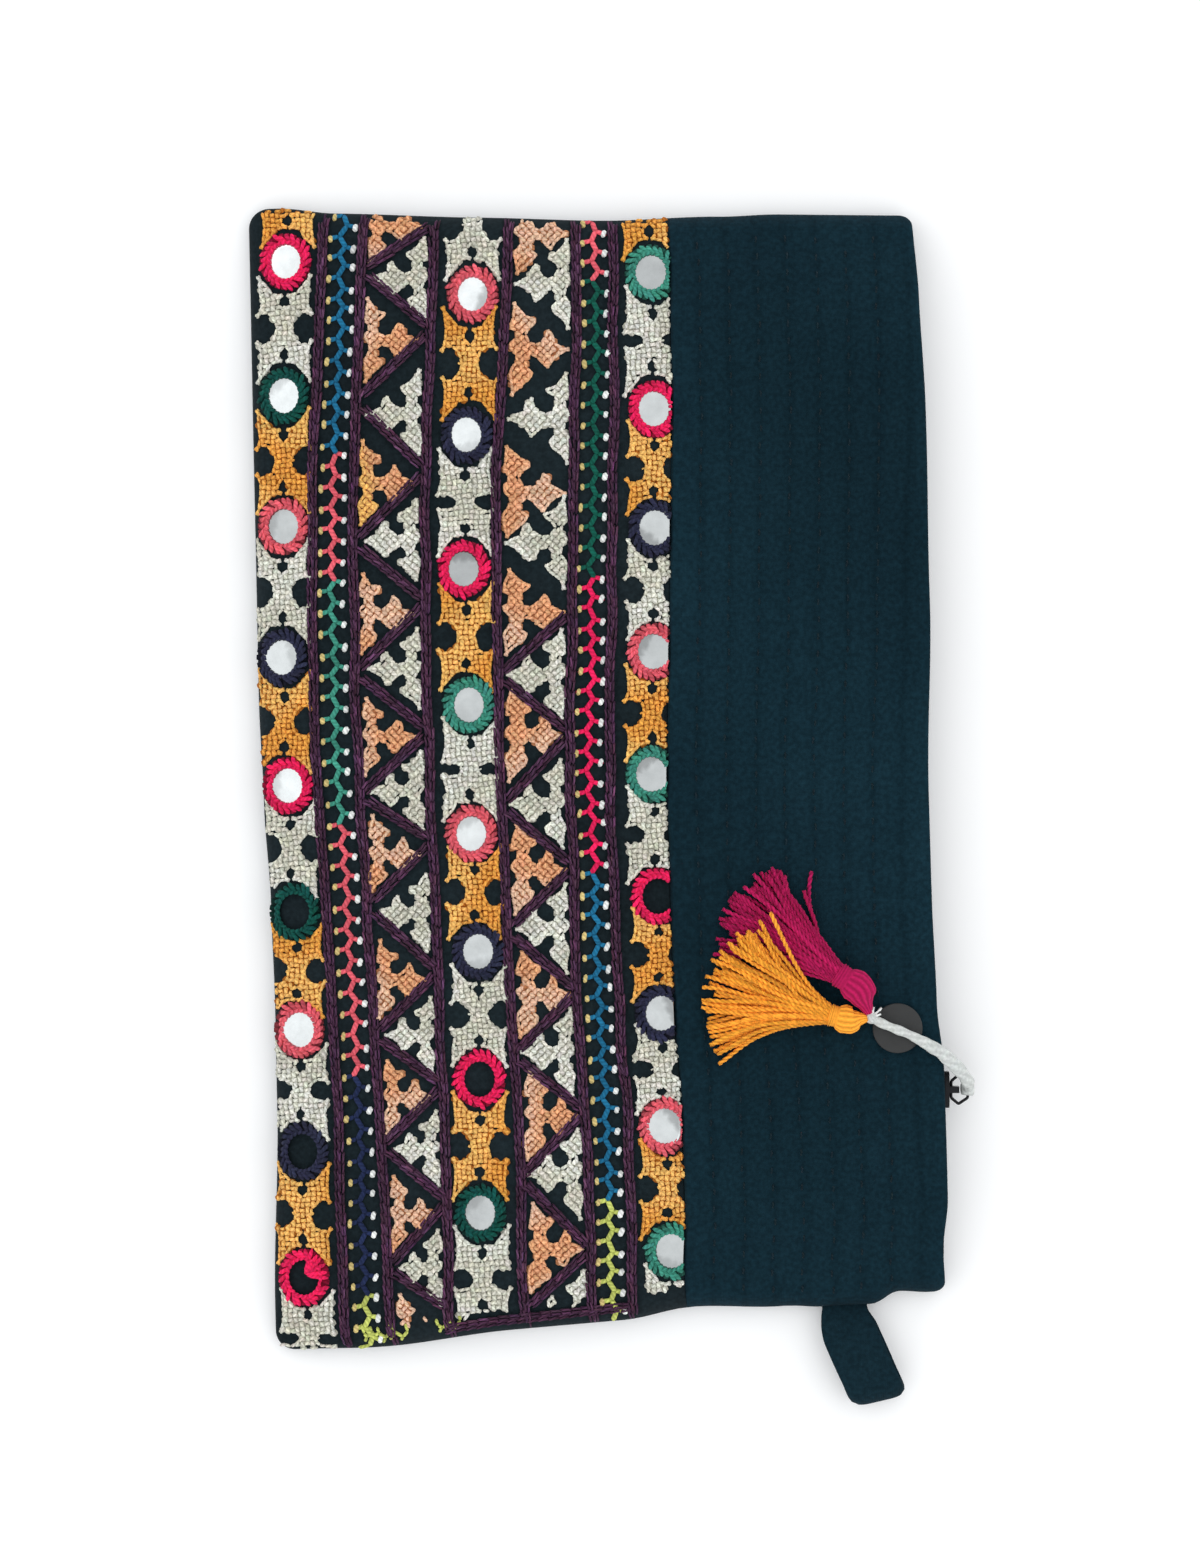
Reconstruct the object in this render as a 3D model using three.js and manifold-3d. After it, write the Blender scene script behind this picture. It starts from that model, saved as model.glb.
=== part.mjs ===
// A flat zip pouch for travelling: a mirror-work embroidered panel and a quilted cotton band in front,
// a plain back, a zip along one long edge with a corded tassel pull, and a hanging loop in a side seam.
// Millimetres, +Z up. The pouch lies on its back: the bottom fold is at -X, the zip edge at +X,
// the upper side seam at +Y and the lower side seam, with the loop, at -Y.
import * as THREE from "three";
import { mergeVertices } from "three/addons/utils/BufferGeometryUtils.js";
import Module from "manifold-3d";

const wasm = await Module();
wasm.setup();

// Pouch
const pouchWidth = 166.3; // bottom fold to zip edge
const foldLength = 286.5; // side seam to side seam along the bottom fold
const zipEdgeLength = 270.3; // the same along the zip edge
const zipEdgeDrop = 1.5; // the zip edge starts this much lower than the fold
const foldLean = 7; // the lower ends of the fold and the zip edge lie this much further out to +X
const zipLean = 8.5;
const edgeWander = 2; // the most that a hand-cut edge strays from straight
const loft = 15; // thickness in the middle
const mouthHeight = 14.4; // thickness at the zip edge
const seamHeight = 2.7; // the side seams and the fold lie this high above the table
const wall = 2; // padded cotton
const hem = 2.3; // the turned edge along the zip
const hemWidth = 8;
const hemFlat = 0.8; // what the rounded hem leaves upright at its edge
const foldCorner = 5; // corner radii in plan
const zipCorner = 3;
const frontRoll = 4.5; // the cloth turns over at an edge within this width
const backRoll = 5;
const pillowSpread = 36; // and then slopes up to its full height over this width
const rollShare = 0.42; // share of the height gained in the turn
const gap = 0.3; // between pieces that touch

// Front panel and band
const braidHeight = 0.9;
const braidHalfWidth = 1.25;
const seamDip = 0.8; // depth and half width of the valley where the panel meets the band
const seamDipWidth = 4;
const quiltPitch = 7.3;
const quiltDepth = 0.45;
const puckerHeight = 0.35; // the band's shallow puckers beside the zip
const puckerPitch = 46;
const puckerReach = 16;

// Mirrors and the rings of thread that hold them
const ringWidth = 12.8;
const ringLength = 14.4;
const ringHeight = 1.8;
const ringFoot = 0.4; // its underside above the cloth
const ringFromFold = 1.8; // the least distance to the pouch's edge
const ringLipWidth = 7.2; // the window that the ring leaves over the glass
const ringLipLength = 8.6;
const ringSides = 12;
const mirrorThickness = 0.8;

// Zip
const zipEnd = 4; // the tapes stop this far from the side seams
const tapeThickness = 0.6;
const tapeWidth = 10;
const tapeInset = 0.6; // the upright part of the tape lies this far inside the hem's edge
const chainHalfHeight = 1.5; // one row of teeth
const chainThickness = 1.8;
const chainInset = 0.1;
const unzippedHalfGap = 2.5;
const sliderFromEnd = 50.5; // from the lower side seam
const sliderLength = 9;
const sliderPlate = 1.1;
const sliderHalfHeight = 3.3;
const sliderInnerHalfHeight = 2.8;
const postLength = 2.2;
const postHalfHeight = 0.7;
const bailWidth = 1.6;
const bailHalfHeight = 2.4;
const bailWall = 1;
const pullWire = 0.9;
const pullLength = 4.8; // the wire frame, out from the slider and along the zip
const pullWidth = 7.6;
const pullBar = 4.6;

// Cord, charm and tassels
const cordRadius = 1.3;
const knotRadius = 1.5;
const hitchWidth = 2.6;
const hitchWall = 0.9;
const charmRadius = 6.2;
const charmThickness = 0.8;
const magentaHead = 4;
const goldHead = 3.4;
const neckLength = 3.2;
const neckShare = 0.76; // neck radius as a share of the head's

// Hanging loop
const loopWidth = 14;
const loopRootWidth = 11.4;
const loopLength = 23.2;
const loopThickness = 1.4;
const loopBulge = 10; // height of the open bend
const loopFromZip = 24.5; // its middle, from the zip edge along the side seam
const loopTurn = 24; // how far the loop swings towards the zip, in degrees

// at: share of the edge from its upper or fold end. out: share of edgeWander, outwards.
const foldStray = [
  { at: 0, out: 0 },
  { at: 0.26, out: 0.12 },
  { at: 0.43, out: 0.2 },
  { at: 0.52, out: -0.12 },
  { at: 0.61, out: -0.7 },
  { at: 0.7, out: -0.9 },
  { at: 0.79, out: -0.85 },
  { at: 0.96, out: 0 },
  { at: 1, out: 0 },
];
const zipStray = [
  { at: 0, out: 0 },
  { at: 0.08, out: 0.42 },
  { at: 0.18, out: 0.8 },
  { at: 0.36, out: 0.55 },
  { at: 0.54, out: -0.35 },
  { at: 0.64, out: -0.35 },
  { at: 0.73, out: -0.15 },
  { at: 0.79, out: 0.5 },
  { at: 0.91, out: 0.5 },
  { at: 0.96, out: -0.2 },
  { at: 1, out: 0 },
];
const upperStray = [
  { at: 0, out: 0 },
  { at: 0.05, out: 0.15 },
  { at: 0.13, out: -0.4 },
  { at: 0.35, out: -0.75 },
  { at: 0.53, out: -1 },
  { at: 0.71, out: -0.35 },
  { at: 0.8, out: 0 },
  { at: 1, out: 0 },
];
const lowerStray = [
  { at: 0, out: 0 },
  { at: 0.17, out: 0.7 },
  { at: 0.35, out: 0 },
  { at: 0.52, out: 0 },
  { at: 0.62, out: -0.9 },
  { at: 0.76, out: 0 },
  { at: 0.82, out: 0.5 },
  { at: 0.89, out: 0.7 },
  { at: 0.93, out: -0.6 },
  { at: 0.98, out: -0.15 },
  { at: 1, out: 0 },
];

// Where each raised braid, and last the seam with the band, crosses the panel:
// shares of the pouch's width at the upper side seam, the quarters and the lower side seam.
const stripes = {
  braidA: [0.115, 0.089, 0.084, 0.091, 0.105],
  braidB: [0.174, 0.15, 0.148, 0.153, 0.174],
  braidC: [0.281, 0.257, 0.254, 0.252, 0.262],
  braidD: [0.393, 0.363, 0.36, 0.36, 0.373],
  braidE: [0.493, 0.476, 0.464, 0.46, 0.475],
  braidF: [0.548, 0.534, 0.523, 0.523, 0.535],
  seam: [0.632, 0.62, 0.609, 0.605, 0.614],
};

// Each border of mirrors between its two lines (the left one runs along the fold). Each ring has its
// shares of the way across and down the pouch, and whether its glass is still there.
const borders = {
  left: {
    from: null,
    to: "braidA",
    rings: [
      { across: 0.0556, down: 0.048, glass: true },
      { across: 0.0489, down: 0.166, glass: true },
      { across: 0.044, down: 0.28, glass: true },
      { across: 0.0375, down: 0.394, glass: true },
      { across: 0.0383, down: 0.506, glass: true },
      { across: 0.0375, down: 0.616, glass: false },
      { across: 0.0375, down: 0.719, glass: true },
      { across: 0.0395, down: 0.825, glass: false },
      { across: 0.0447, down: 0.935, glass: false },
    ],
  },
  middle: {
    from: "braidC",
    to: "braidD",
    rings: [
      { across: 0.335, down: 0.072, glass: true },
      { across: 0.3196, down: 0.198, glass: true },
      { across: 0.3116, down: 0.317, glass: true },
      { across: 0.3155, down: 0.438, glass: true },
      { across: 0.3123, down: 0.552, glass: true },
      { across: 0.3132, down: 0.657, glass: true },
      { across: 0.3075, down: 0.77, glass: false },
      { across: 0.3066, down: 0.889, glass: true },
    ],
  },
  right: {
    from: "braidF",
    to: "seam",
    rings: [
      { across: 0.602, down: 0.052, glass: true },
      { across: 0.598, down: 0.177, glass: true },
      { across: 0.595, down: 0.285, glass: true },
      { across: 0.5895, down: 0.397, glass: true },
      { across: 0.585, down: 0.508, glass: true },
      { across: 0.587, down: 0.619, glass: false },
      { across: 0.584, down: 0.725, glass: true },
      { across: 0.581, down: 0.827, glass: true },
      { across: 0.592, down: 0.943, glass: true },
    ],
  },
};

// The pull cord's route on the pouch, from the puller to the knot: mm in from the zip edge,
// mm up from the slider, and what lies under it.
const cordRoute = [
  { inward: -6.4, up: 0.8, over: "puller" },
  { inward: -4.3, up: 4.2, over: "air" },
  { inward: 0.1, up: 9.4, over: "edge" },
  { inward: 2.6, up: 11.6, over: "band" },
  { inward: 5.1, up: 13.2, over: "charm" },
  { inward: 8.3, up: 14.8, over: "charm" },
  { inward: 11.4, up: 16.2, over: "charm" },
  { inward: 14.1, up: 17.9, over: "charm" },
  { inward: 16.5, up: 20, over: "charm" },
];
const charmPlace = { inward: 10.5, up: 16.1 };
const magentaPlace = { inward: 19.3, up: 27.7 };
const goldPlace = { inward: 21.8, up: 19.8 };

// Small helpers
const lerp = (a, b, t) => a + (b - a) * t;
const clamp = (t) => Math.min(1, Math.max(0, t));
const smooth = (t) => clamp(t) ** 2 * (3 - 2 * clamp(t));
const quarter = (t) => Math.sqrt(1 - (1 - clamp(t)) ** 2);
const range = (n) => Array.from({ length: n }, (_, i) => i);
const spread = (from, to, n) => range(n).map((i) => lerp(from, to, i / (n - 1)));

// Value at a share of the way through evenly spaced values, on a smooth curve.
function through(values, t) {
  const last = values.length - 1;
  const i = Math.min(last - 1, Math.floor(clamp(t) * last));
  const f = clamp(t) * last - i;
  const [a, b, c, d] = [i - 1, i, i + 1, i + 2].map((k) => values[Math.min(last, Math.max(0, k))]);
  return b + 0.5 * f * (c - a + f * (2 * a - 5 * b + 4 * c - d + f * (3 * (b - c) + d - a)));
}

function strayAt(table, t) {
  const i = Math.max(1, table.findIndex((row) => row.at >= t));
  const [a, b] = [table[i - 1], table[i]];
  return edgeWander * lerp(a.out, b.out, smooth((t - a.at) / (b.at - a.at)));
}

// Plan of the pouch: four edges with rounded corners, and a patch that fills them.
const plan = (x, y) => new THREE.Vector2(x, y);
const halfWidth = pouchWidth / 2;
const halfFold = foldLength / 2;
const corners = {
  foldUpper: plan(-halfWidth - foldLean / 2, halfFold),
  zipUpper: plan(halfWidth - foldLean / 2, halfFold - zipEdgeDrop),
  foldLower: plan(-halfWidth + foldLean / 2, -halfFold),
  zipLower: plan(halfWidth - foldLean / 2 + zipLean, halfFold - zipEdgeDrop - zipEdgeLength),
};
const diagonal = 1 - Math.SQRT1_2; // how far in a rounded corner's middle lies, in radii

function edge(start, end, startRadius, endRadius, stray, outwards) {
  const along = end.clone().sub(start);
  const length = along.length();
  along.normalize();
  const out = plan(along.y, -along.x).multiplyScalar(outwards);
  const cut = (s, r) => (s < r ? r - Math.sqrt(Math.max(0, r * r - (r - s) ** 2)) : 0);
  return (t) => {
    const s = lerp(diagonal * startRadius, length - diagonal * endRadius, t);
    const offset = strayAt(stray, s / length) - cut(s, startRadius) - cut(length - s, endRadius);
    return start.clone().addScaledVector(along, s).addScaledVector(out, offset);
  };
}

const edges = {
  fold: edge(corners.foldUpper, corners.foldLower, foldCorner, foldCorner, foldStray, 1),
  zip: edge(corners.zipUpper, corners.zipLower, zipCorner, zipCorner, zipStray, -1),
  upper: edge(corners.foldUpper, corners.zipUpper, foldCorner, zipCorner, upperStray, -1),
  lower: edge(corners.foldLower, corners.zipLower, foldCorner, zipCorner, lowerStray, 1),
};
const shared = {
  foldUpper: edges.fold(0).add(edges.upper(0)).multiplyScalar(0.5),
  zipUpper: edges.zip(0).add(edges.upper(1)).multiplyScalar(0.5),
  foldLower: edges.fold(1).add(edges.lower(0)).multiplyScalar(0.5),
  zipLower: edges.zip(1).add(edges.lower(1)).multiplyScalar(0.5),
};

// An edge drawn so that both its ends are the corners it shares.
function joined(curve, start, end) {
  const [atStart, atEnd] = [start.clone().sub(curve(0)), end.clone().sub(curve(1))];
  return (t) => curve(t).addScaledVector(atStart, 1 - t).addScaledVector(atEnd, t);
}

const outline = {
  fold: joined(edges.fold, shared.foldUpper, shared.foldLower),
  zip: joined(edges.zip, shared.zipUpper, shared.zipLower),
  upper: joined(edges.upper, shared.foldUpper, shared.zipUpper),
  lower: joined(edges.lower, shared.foldLower, shared.zipLower),
};

// Plan point at across (0 fold, 1 zip edge) and down (0 upper seam, 1 lower seam).
function planPoint(across, down) {
  const point = plan(0, 0)
    .addScaledVector(outline.upper(across), 1 - down)
    .addScaledVector(outline.lower(across), down)
    .addScaledVector(outline.fold(down), 1 - across)
    .addScaledVector(outline.zip(down), across);
  return point
    .addScaledVector(shared.foldUpper, -(1 - across) * (1 - down))
    .addScaledVector(shared.zipUpper, -across * (1 - down))
    .addScaledVector(shared.foldLower, -(1 - across) * down)
    .addScaledVector(shared.zipLower, -across * down);
}

const lengthAt = (across) => lerp(foldLength, zipEdgeLength, across);
const stripeAt = (name, down) => (name ? through(stripes[name], down) : 0);

// Heights of the four surfaces of the cloth. inset is how far the surface's own edge lies in from
// the pouch's edge: 0 for an outside, the wall for an inside.
const frontSeam = seamHeight + gap / 2;
const backSeam = seamHeight - gap / 2;
const frontRise = (d) =>
  rollShare * quarter(d / frontRoll) + (1 - rollShare) * Math.sin((clamp(d / pillowSpread) * Math.PI) / 2);
const backRise = (d) => quarter(d / backRoll);

function fullness(across, down, inset, rise) {
  const ends = [down, 1 - down].map((t) => rise(Math.max(0, t * lengthAt(across) - inset)));
  return rise(Math.max(0, across * pouchWidth - inset)) * ends[0] * ends[1];
}

const fromZip = (across) => (1 - across) * pouchWidth;
const topLevel = (across) => lerp(loft, mouthHeight, smooth(2 * across - 1));
const thickness = (across) => lerp(hem, wall, smooth(fromZip(across) / hemWidth));
const hemTurn = (across) => ((hem - hemFlat) / 2) * (1 - quarter(fromZip(across) / (hem / 2)));

function quiltRelief(across, down) {
  const run = (across - stripeAt("seam", down)) * pouchWidth;
  const groove = 0.5 + 0.5 * Math.cos((2 * Math.PI * run) / quiltPitch);
  const pucker = Math.cos((2 * Math.PI * down * zipEdgeLength) / puckerPitch);
  const nearZip = Math.exp(-fromZip(across) / puckerReach);
  return -quiltDepth * groove + puckerHeight * pucker * nearZip;
}

function panelRelief(across, down) {
  const names = Object.keys(stripes).filter((name) => name !== "seam");
  const ridge = names.map((name) => {
    const away = Math.abs(across - stripeAt(name, down)) * pouchWidth;
    return 1 - clamp(away / braidHalfWidth);
  });
  const toSeam = (stripeAt("seam", down) - across) * pouchWidth;
  return braidHeight * Math.max(...ridge) - seamDip * (1 - smooth(toSeam / seamDipWidth));
}

function frontOuter(across, down, relief) {
  const full = fullness(across, down, 0, frontRise);
  const height = topLevel(across) - frontSeam - hemTurn(across) + relief(across, down);
  return frontSeam + height * full;
}

function frontInner(across, down, turn = hemTurn(across)) {
  const full = fullness(across, down, wall, frontRise);
  return frontSeam + (topLevel(across) - thickness(across) - frontSeam + turn) * full;
}

function backOuter(across, down) {
  const full = fullness(across, down, 0, backRise);
  return backSeam + (hemTurn(across) - backSeam) * full;
}

function backInner(across, down, turn = hemTurn(across)) {
  const full = fullness(across, down, wall, backRise);
  return backSeam + (thickness(across) - backSeam - turn) * full;
}

// Geometry helpers
function meshGeometry(points, faces) {
  const geometry = new THREE.BufferGeometry().setFromPoints(points);
  return geometry.setIndex(faces.flat());
}

function solidOf(geometry) {
  const bare = new THREE.BufferGeometry();
  bare.setAttribute("position", geometry.getAttribute("position"));
  bare.setIndex(geometry.index);
  const merged = mergeVertices(bare, 1e-4);
  const vertProperties = merged.attributes.position.array;
  return new wasm.Manifold(new wasm.Mesh({ numProp: 3, vertProperties, triVerts: merged.index.array }));
}

function geometryOf(solid) {
  const mesh = solid.getMesh();
  const positions = new THREE.BufferAttribute(new Float32Array(mesh.vertProperties), 3);
  return new THREE.BufferGeometry()
    .setAttribute("position", positions)
    .setIndex(new THREE.BufferAttribute(mesh.triVerts, 1));
}

const union = (...geometries) =>
  geometryOf(geometries.map(solidOf).reduce((whole, piece) => whole.add(piece)));
const subtract = (geometry, ...cutters) =>
  geometryOf(cutters.map(solidOf).reduce((whole, cutter) => whole.subtract(cutter), solidOf(geometry)));

// A box between two corners.
function block(low, high) {
  const size = high.clone().sub(low);
  const middle = low.clone().add(high).multiplyScalar(0.5);
  return new THREE.BoxGeometry(size.x, size.y, size.z).translate(middle.x, middle.y, middle.z);
}

// A closed wall between an upper and a lower grid, each with its rows going towards +Y and its
// columns towards +X. The two grids may have different numbers of rows and columns.
function wallBetween(upper, lower) {
  const points = [...upper.flat(), ...lower.flat()];
  const faces = [];
  const indexer = (grid, start) => (i, j) => start + i * grid[0].length + j;
  const at = [indexer(upper, 0), indexer(lower, upper.flat().length)];
  [upper, lower].forEach((grid, side) => {
    for (let i = 0; i < grid.length - 1; i++)
      for (let j = 0; j < grid[0].length - 1; j++) {
        const [a, b] = [at[side](i, j), at[side](i, j + 1)];
        const [c, d] = [at[side](i + 1, j + 1), at[side](i + 1, j)];
        faces.push(...(side ? [[a, c, b], [a, d, c]] : [[a, b, c], [a, c, d]]));
      }
  });
  const rim = (grid, id) => {
    const [rows, columns] = [range(grid.length), range(grid[0].length)];
    const [lastRow, lastColumn] = [grid.length - 1, grid[0].length - 1];
    return [
      columns.map((j) => id(0, j)),
      rows.map((i) => id(i, lastColumn)),
      columns.map((j) => id(lastRow, j)).reverse(),
      rows.map((i) => id(i, 0)).reverse(),
    ];
  };
  const shares = (ids) => {
    const steps = ids.map((id, k) => (k ? points[id].distanceTo(points[ids[k - 1]]) : 0));
    const total = steps.reduce((sum, step) => sum + step);
    let run = 0;
    return steps.map((step) => (run += step) / total);
  };
  const lowerRim = rim(lower, at[1]);
  rim(upper, at[0]).forEach((top, side) => {
    const bottom = lowerRim[side];
    const [topShares, bottomShares] = [shares(top), shares(bottom)];
    let [i, j] = [0, 0];
    while (i < top.length - 1 || j < bottom.length - 1) {
      const topNext = i < top.length - 1 ? topShares[i + 1] : Infinity;
      const bottomNext = j < bottom.length - 1 ? bottomShares[j + 1] : Infinity;
      if (topNext <= bottomNext) faces.push([top[i], bottom[j], top[++i]]);
      else faces.push([top[i], bottom[j], bottom[++j]]);
    }
  });
  return meshGeometry(points, faces);
}

// A closed body through rings of as many points each, which all run the same way round.
function loft3d(rings, closed = false) {
  const n = rings[0].length;
  const points = rings.flat();
  const faces = [];
  const steps = closed ? rings.length : rings.length - 1;
  for (let i = 0; i < steps; i++)
    for (let k = 0; k < n; k++) {
      const [a, b] = [i * n + k, i * n + ((k + 1) % n)];
      const [c, d] = [((i + 1) % rings.length) * n + ((k + 1) % n), ((i + 1) % rings.length) * n + k];
      faces.push([a, b, c], [a, c, d]);
    }
  if (!closed) faces.push(...capOf(rings[0], 0, true), ...capOf(rings.at(-1), points.length - n, false));
  const geometry = meshGeometry(points, faces);
  return solidOf(geometry).volume() < 0 ? meshGeometry(points, faces.map((f) => [...f].reverse())) : geometry;
}

// Triangles over a flat ring of points.
function capOf(ring, start, reversed) {
  const [origin, across] = [ring[0], ring[1].clone().sub(ring[0]).normalize()];
  const normal = new THREE.Vector3();
  ring.forEach((p, k) => normal.add(p.clone().cross(ring[(k + 1) % ring.length])));
  normal.normalize();
  const up = normal.clone().cross(across);
  const flat = ring.map((p) => plan(p.clone().sub(origin).dot(across), p.clone().sub(origin).dot(up)));
  return THREE.ShapeUtils.triangulateShape(flat, []).map((f) =>
    (reversed ? [...f].reverse() : f).map((k) => start + k),
  );
}

function pointOn(across, down, height) {
  const { x, y } = planPoint(across, down);
  return new THREE.Vector3(x, y, height);
}

// Shares of a length whose steps open out from each end: given distances, then even steps between.
function openingSteps(length, distances, steps) {
  const inner = spread(distances.at(-1), length - distances.at(-1), steps + 1).slice(1, -1);
  return [...distances, ...inner, ...distances.map((d) => length - d).reverse()].map((d) => d / length);
}

// The three sewn walls
const edgeSteps = [0, 0.4, 1.4, 3.2, 6.5, 12, 22];
const rowsDown = openingSteps(foldLength, edgeSteps, 13).reverse();
const innerRows = openingSteps(foldLength, [0, 1, 4, 12, 28], 6).reverse();
const insetDown = (down) => lerp(wall / foldLength, 1 - wall / foldLength, down);
const insetAcross = (across) => lerp(wall / pouchWidth, 1, across);
const seamShare = gap / 2 / pouchWidth;
const uprightSteps = edgeSteps.map((d) => d / pouchWidth);

function embroideredPanel() {
  const half = braidHalfWidth / pouchWidth;
  const columnsAt = (down) => {
    const at = Object.keys(stripes).map((name) => stripeAt(name, down));
    const seam = at.pop() - seamShare;
    const dip = seamDipWidth / pouchWidth;
    const ridges = at.flatMap((braid, k) => {
      const next = k < at.length - 1 ? at[k + 1] : seam - dip;
      return [braid - half, braid, braid + half, lerp(braid + half, next - half, 0.5)];
    });
    return [...uprightSteps.slice(0, -2), ...ridges, seam - dip, seam - dip / 2, seam];
  };
  const outer = rowsDown.map((down) =>
    columnsAt(down).map((across) => pointOn(across, down, frontOuter(across, down, panelRelief))),
  );
  const inner = innerRows.map(insetDown).map((down) => {
    const seam = stripeAt("seam", down) - seamShare;
    const columns = [0, 0.02, 0.06, 0.14, 0.3, 0.55, 0.8, 1].map((t) => lerp(wall / pouchWidth, seam, t));
    return columns.map((across) => pointOn(across, down, frontInner(across, down)));
  });
  return wallBetween(outer, inner);
}

function quiltedBand() {
  const outer = rowsDown.map((down) => {
    const seam = stripeAt("seam", down);
    const grooves = Math.floor(((1 - seam) * pouchWidth - hem / 2) / (quiltPitch / 2));
    const rows = range(grooves).map((k) => seam + (k * quiltPitch) / 2 / pouchWidth);
    const turned = [hem / 2, hem / 5, 0].map((d) => 1 - d / pouchWidth);
    return [seam + seamShare, ...rows.slice(1), ...turned].map((across) =>
      pointOn(across, down, frontOuter(across, down, quiltRelief)),
    );
  });
  const inner = innerRows.map(insetDown).map((down) => {
    const seam = stripeAt("seam", down) + seamShare;
    const columns = [
      ...[0, 0.4, 0.8].map((t) => lerp(seam, 1 - hem / 2 / pouchWidth, t)),
      ...[hem / 2, hem / 5, 0].map((d) => 1 - d / pouchWidth),
    ];
    return columns.map((across) => pointOn(across, down, frontInner(across, down)));
  });
  const widest = Math.max(...outer.map((row) => row.length));
  const narrowest = Math.min(...outer.map((row) => row.length));
  const even = outer.map((row) => [...row.slice(0, narrowest - 3), ...row.slice(-3)]);
  return wallBetween(widest === narrowest ? outer : even, inner);
}

function backPanel() {
  const turned = [hem, hem / 2, hem / 5, 0].map((d) => 1 - d / pouchWidth);
  const columns = [...uprightSteps, ...spread(0.25, 0.9, 6), ...turned];
  const innerColumns = [0, 0.01, 0.03, 0.1, 0.3, 0.6, 0.9].map(insetAcross);
  const lower = rowsDown.map((down) =>
    columns.map((across) => pointOn(across, down, backOuter(across, down))),
  );
  const upper = innerRows
    .map(insetDown)
    .map((down) =>
      [...innerColumns, ...turned.slice(1)].map((across) => pointOn(across, down, backInner(across, down))),
    );
  return wallBetween(upper, lower);
}

// Everything past the seam line, as a body that trims the rings sewn in under the band.
function pastSeam() {
  const side = (down) => stripeAt("seam", down) - gap / pouchWidth;
  const rings = spread(-0.02, 1.02, 25).map((down) =>
    [
      [side(clamp(down)), -loft],
      [1, -loft],
      [1, 2 * loft],
      [side(clamp(down)), 2 * loft],
    ].map(([across, height]) => pointOn(across, down, height)),
  );
  return loft3d(rings);
}

// A ring of thread round a mirror. Its section is the four points here, draped over the panel.
function ringGeometry(across, down, border) {
  const foot = ringFoot;
  const spare = (braidHalfWidth + gap) / pouchWidth;
  const section = [
    { width: ringWidth, length: ringLength, height: foot },
    { width: ringWidth * 0.82, length: ringLength * 0.82, height: ringHeight },
    { width: ringLipWidth, length: ringLipLength, height: ringHeight - 0.3 },
    { width: ringLipWidth + 1.6, length: ringLipLength + 1.6, height: foot },
  ];
  const rings = range(ringSides).map((k) => {
    const angle = (2 * Math.PI * k) / ringSides;
    return section.map(({ width, length, height }) => {
      const v = down - (Math.sin(angle) * length) / 2 / lengthAt(across);
      const free = across + (Math.cos(angle) * width) / 2 / pouchWidth;
      const least = border.from ? stripeAt(border.from, v) + spare : ringFromFold / pouchWidth;
      const most = border.to === "seam" ? 1 : stripeAt(border.to, v) - spare;
      const u = Math.min(most, Math.max(least, free));
      return pointOn(u, v, frontOuter(u, v, () => 0) + height);
    });
  });
  return loft3d(rings, true);
}

// The glass: a flat disc with a bevelled rim, lying on the panel inside its ring.
function mirrorGeometry(across, down) {
  const reach = { u: ringLipWidth / 2 / pouchWidth, v: ringLipLength / 2 / lengthAt(across) };
  const height = (u, v) => frontOuter(across + u * reach.u, down + v * reach.v, () => 0);
  const middle = pointOn(across, down, height(0, 0));
  const slope = {
    x: (height(1, 0) - height(-1, 0)) / ringLipWidth,
    y: -(height(0, 1) - height(0, -1)) / ringLipLength,
  };
  const level = (height, trim) =>
    range(ringSides).map((k) => {
      const angle = (2 * Math.PI * (k + 0.5)) / ringSides;
      const x = (Math.cos(angle) * (ringLipWidth - trim)) / 2;
      const y = (Math.sin(angle) * (ringLipLength - trim)) / 2;
      const tilt = x * slope.x + y * slope.y;
      return pointOn(across + x / pouchWidth, down - y / lengthAt(across), middle.z + tilt + height);
    });
  return loft3d([level(gap, 0), level(gap + mirrorThickness, 0.6)]);
}

// Zip
const zipRowCount = 24;

// Height of an inside surface at the zip edge, as its flat faces between rows have it.
function facetedAt(surface, down) {
  const rows = innerRows.map(insetDown);
  const i = Math.max(1, rows.findIndex((row) => row <= down));
  const t = (down - rows[i - 1]) / (rows[i] - rows[i - 1]);
  return lerp(surface(1, rows[i - 1], 0), surface(1, rows[i], 0), t);
}

function mouthAt(down) {
  const edgePoint = planPoint(1, down);
  const under = facetedAt(frontInner, down) - gap;
  const over = facetedAt(backInner, down) + gap;
  return { x: edgePoint.x, y: edgePoint.y, middle: (under + over) / 2, room: (under - over) / 2 };
}

const downOfZip = (mm) => 1 - mm / zipEdgeLength; // mm up from the lower side seam
const sliderDown = downOfZip(sliderFromEnd);
const slider = mouthAt(sliderDown);

// How far one row of teeth stands off the zip's middle: nothing but the gap where it is closed.
function partingAt(down, room, squeeze) {
  const fromSlider = (down - sliderDown) * zipEdgeLength + sliderLength / 2;
  const toEnd = (1 - down) * zipEdgeLength - zipEnd;
  const wanted = unzippedHalfGap * smooth(fromSlider / 5) * smooth(toEnd / 14);
  const left = room - (chainHalfHeight + tapeThickness) * squeeze;
  return Math.max(gap / 2, Math.min(wanted, left));
}

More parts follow.
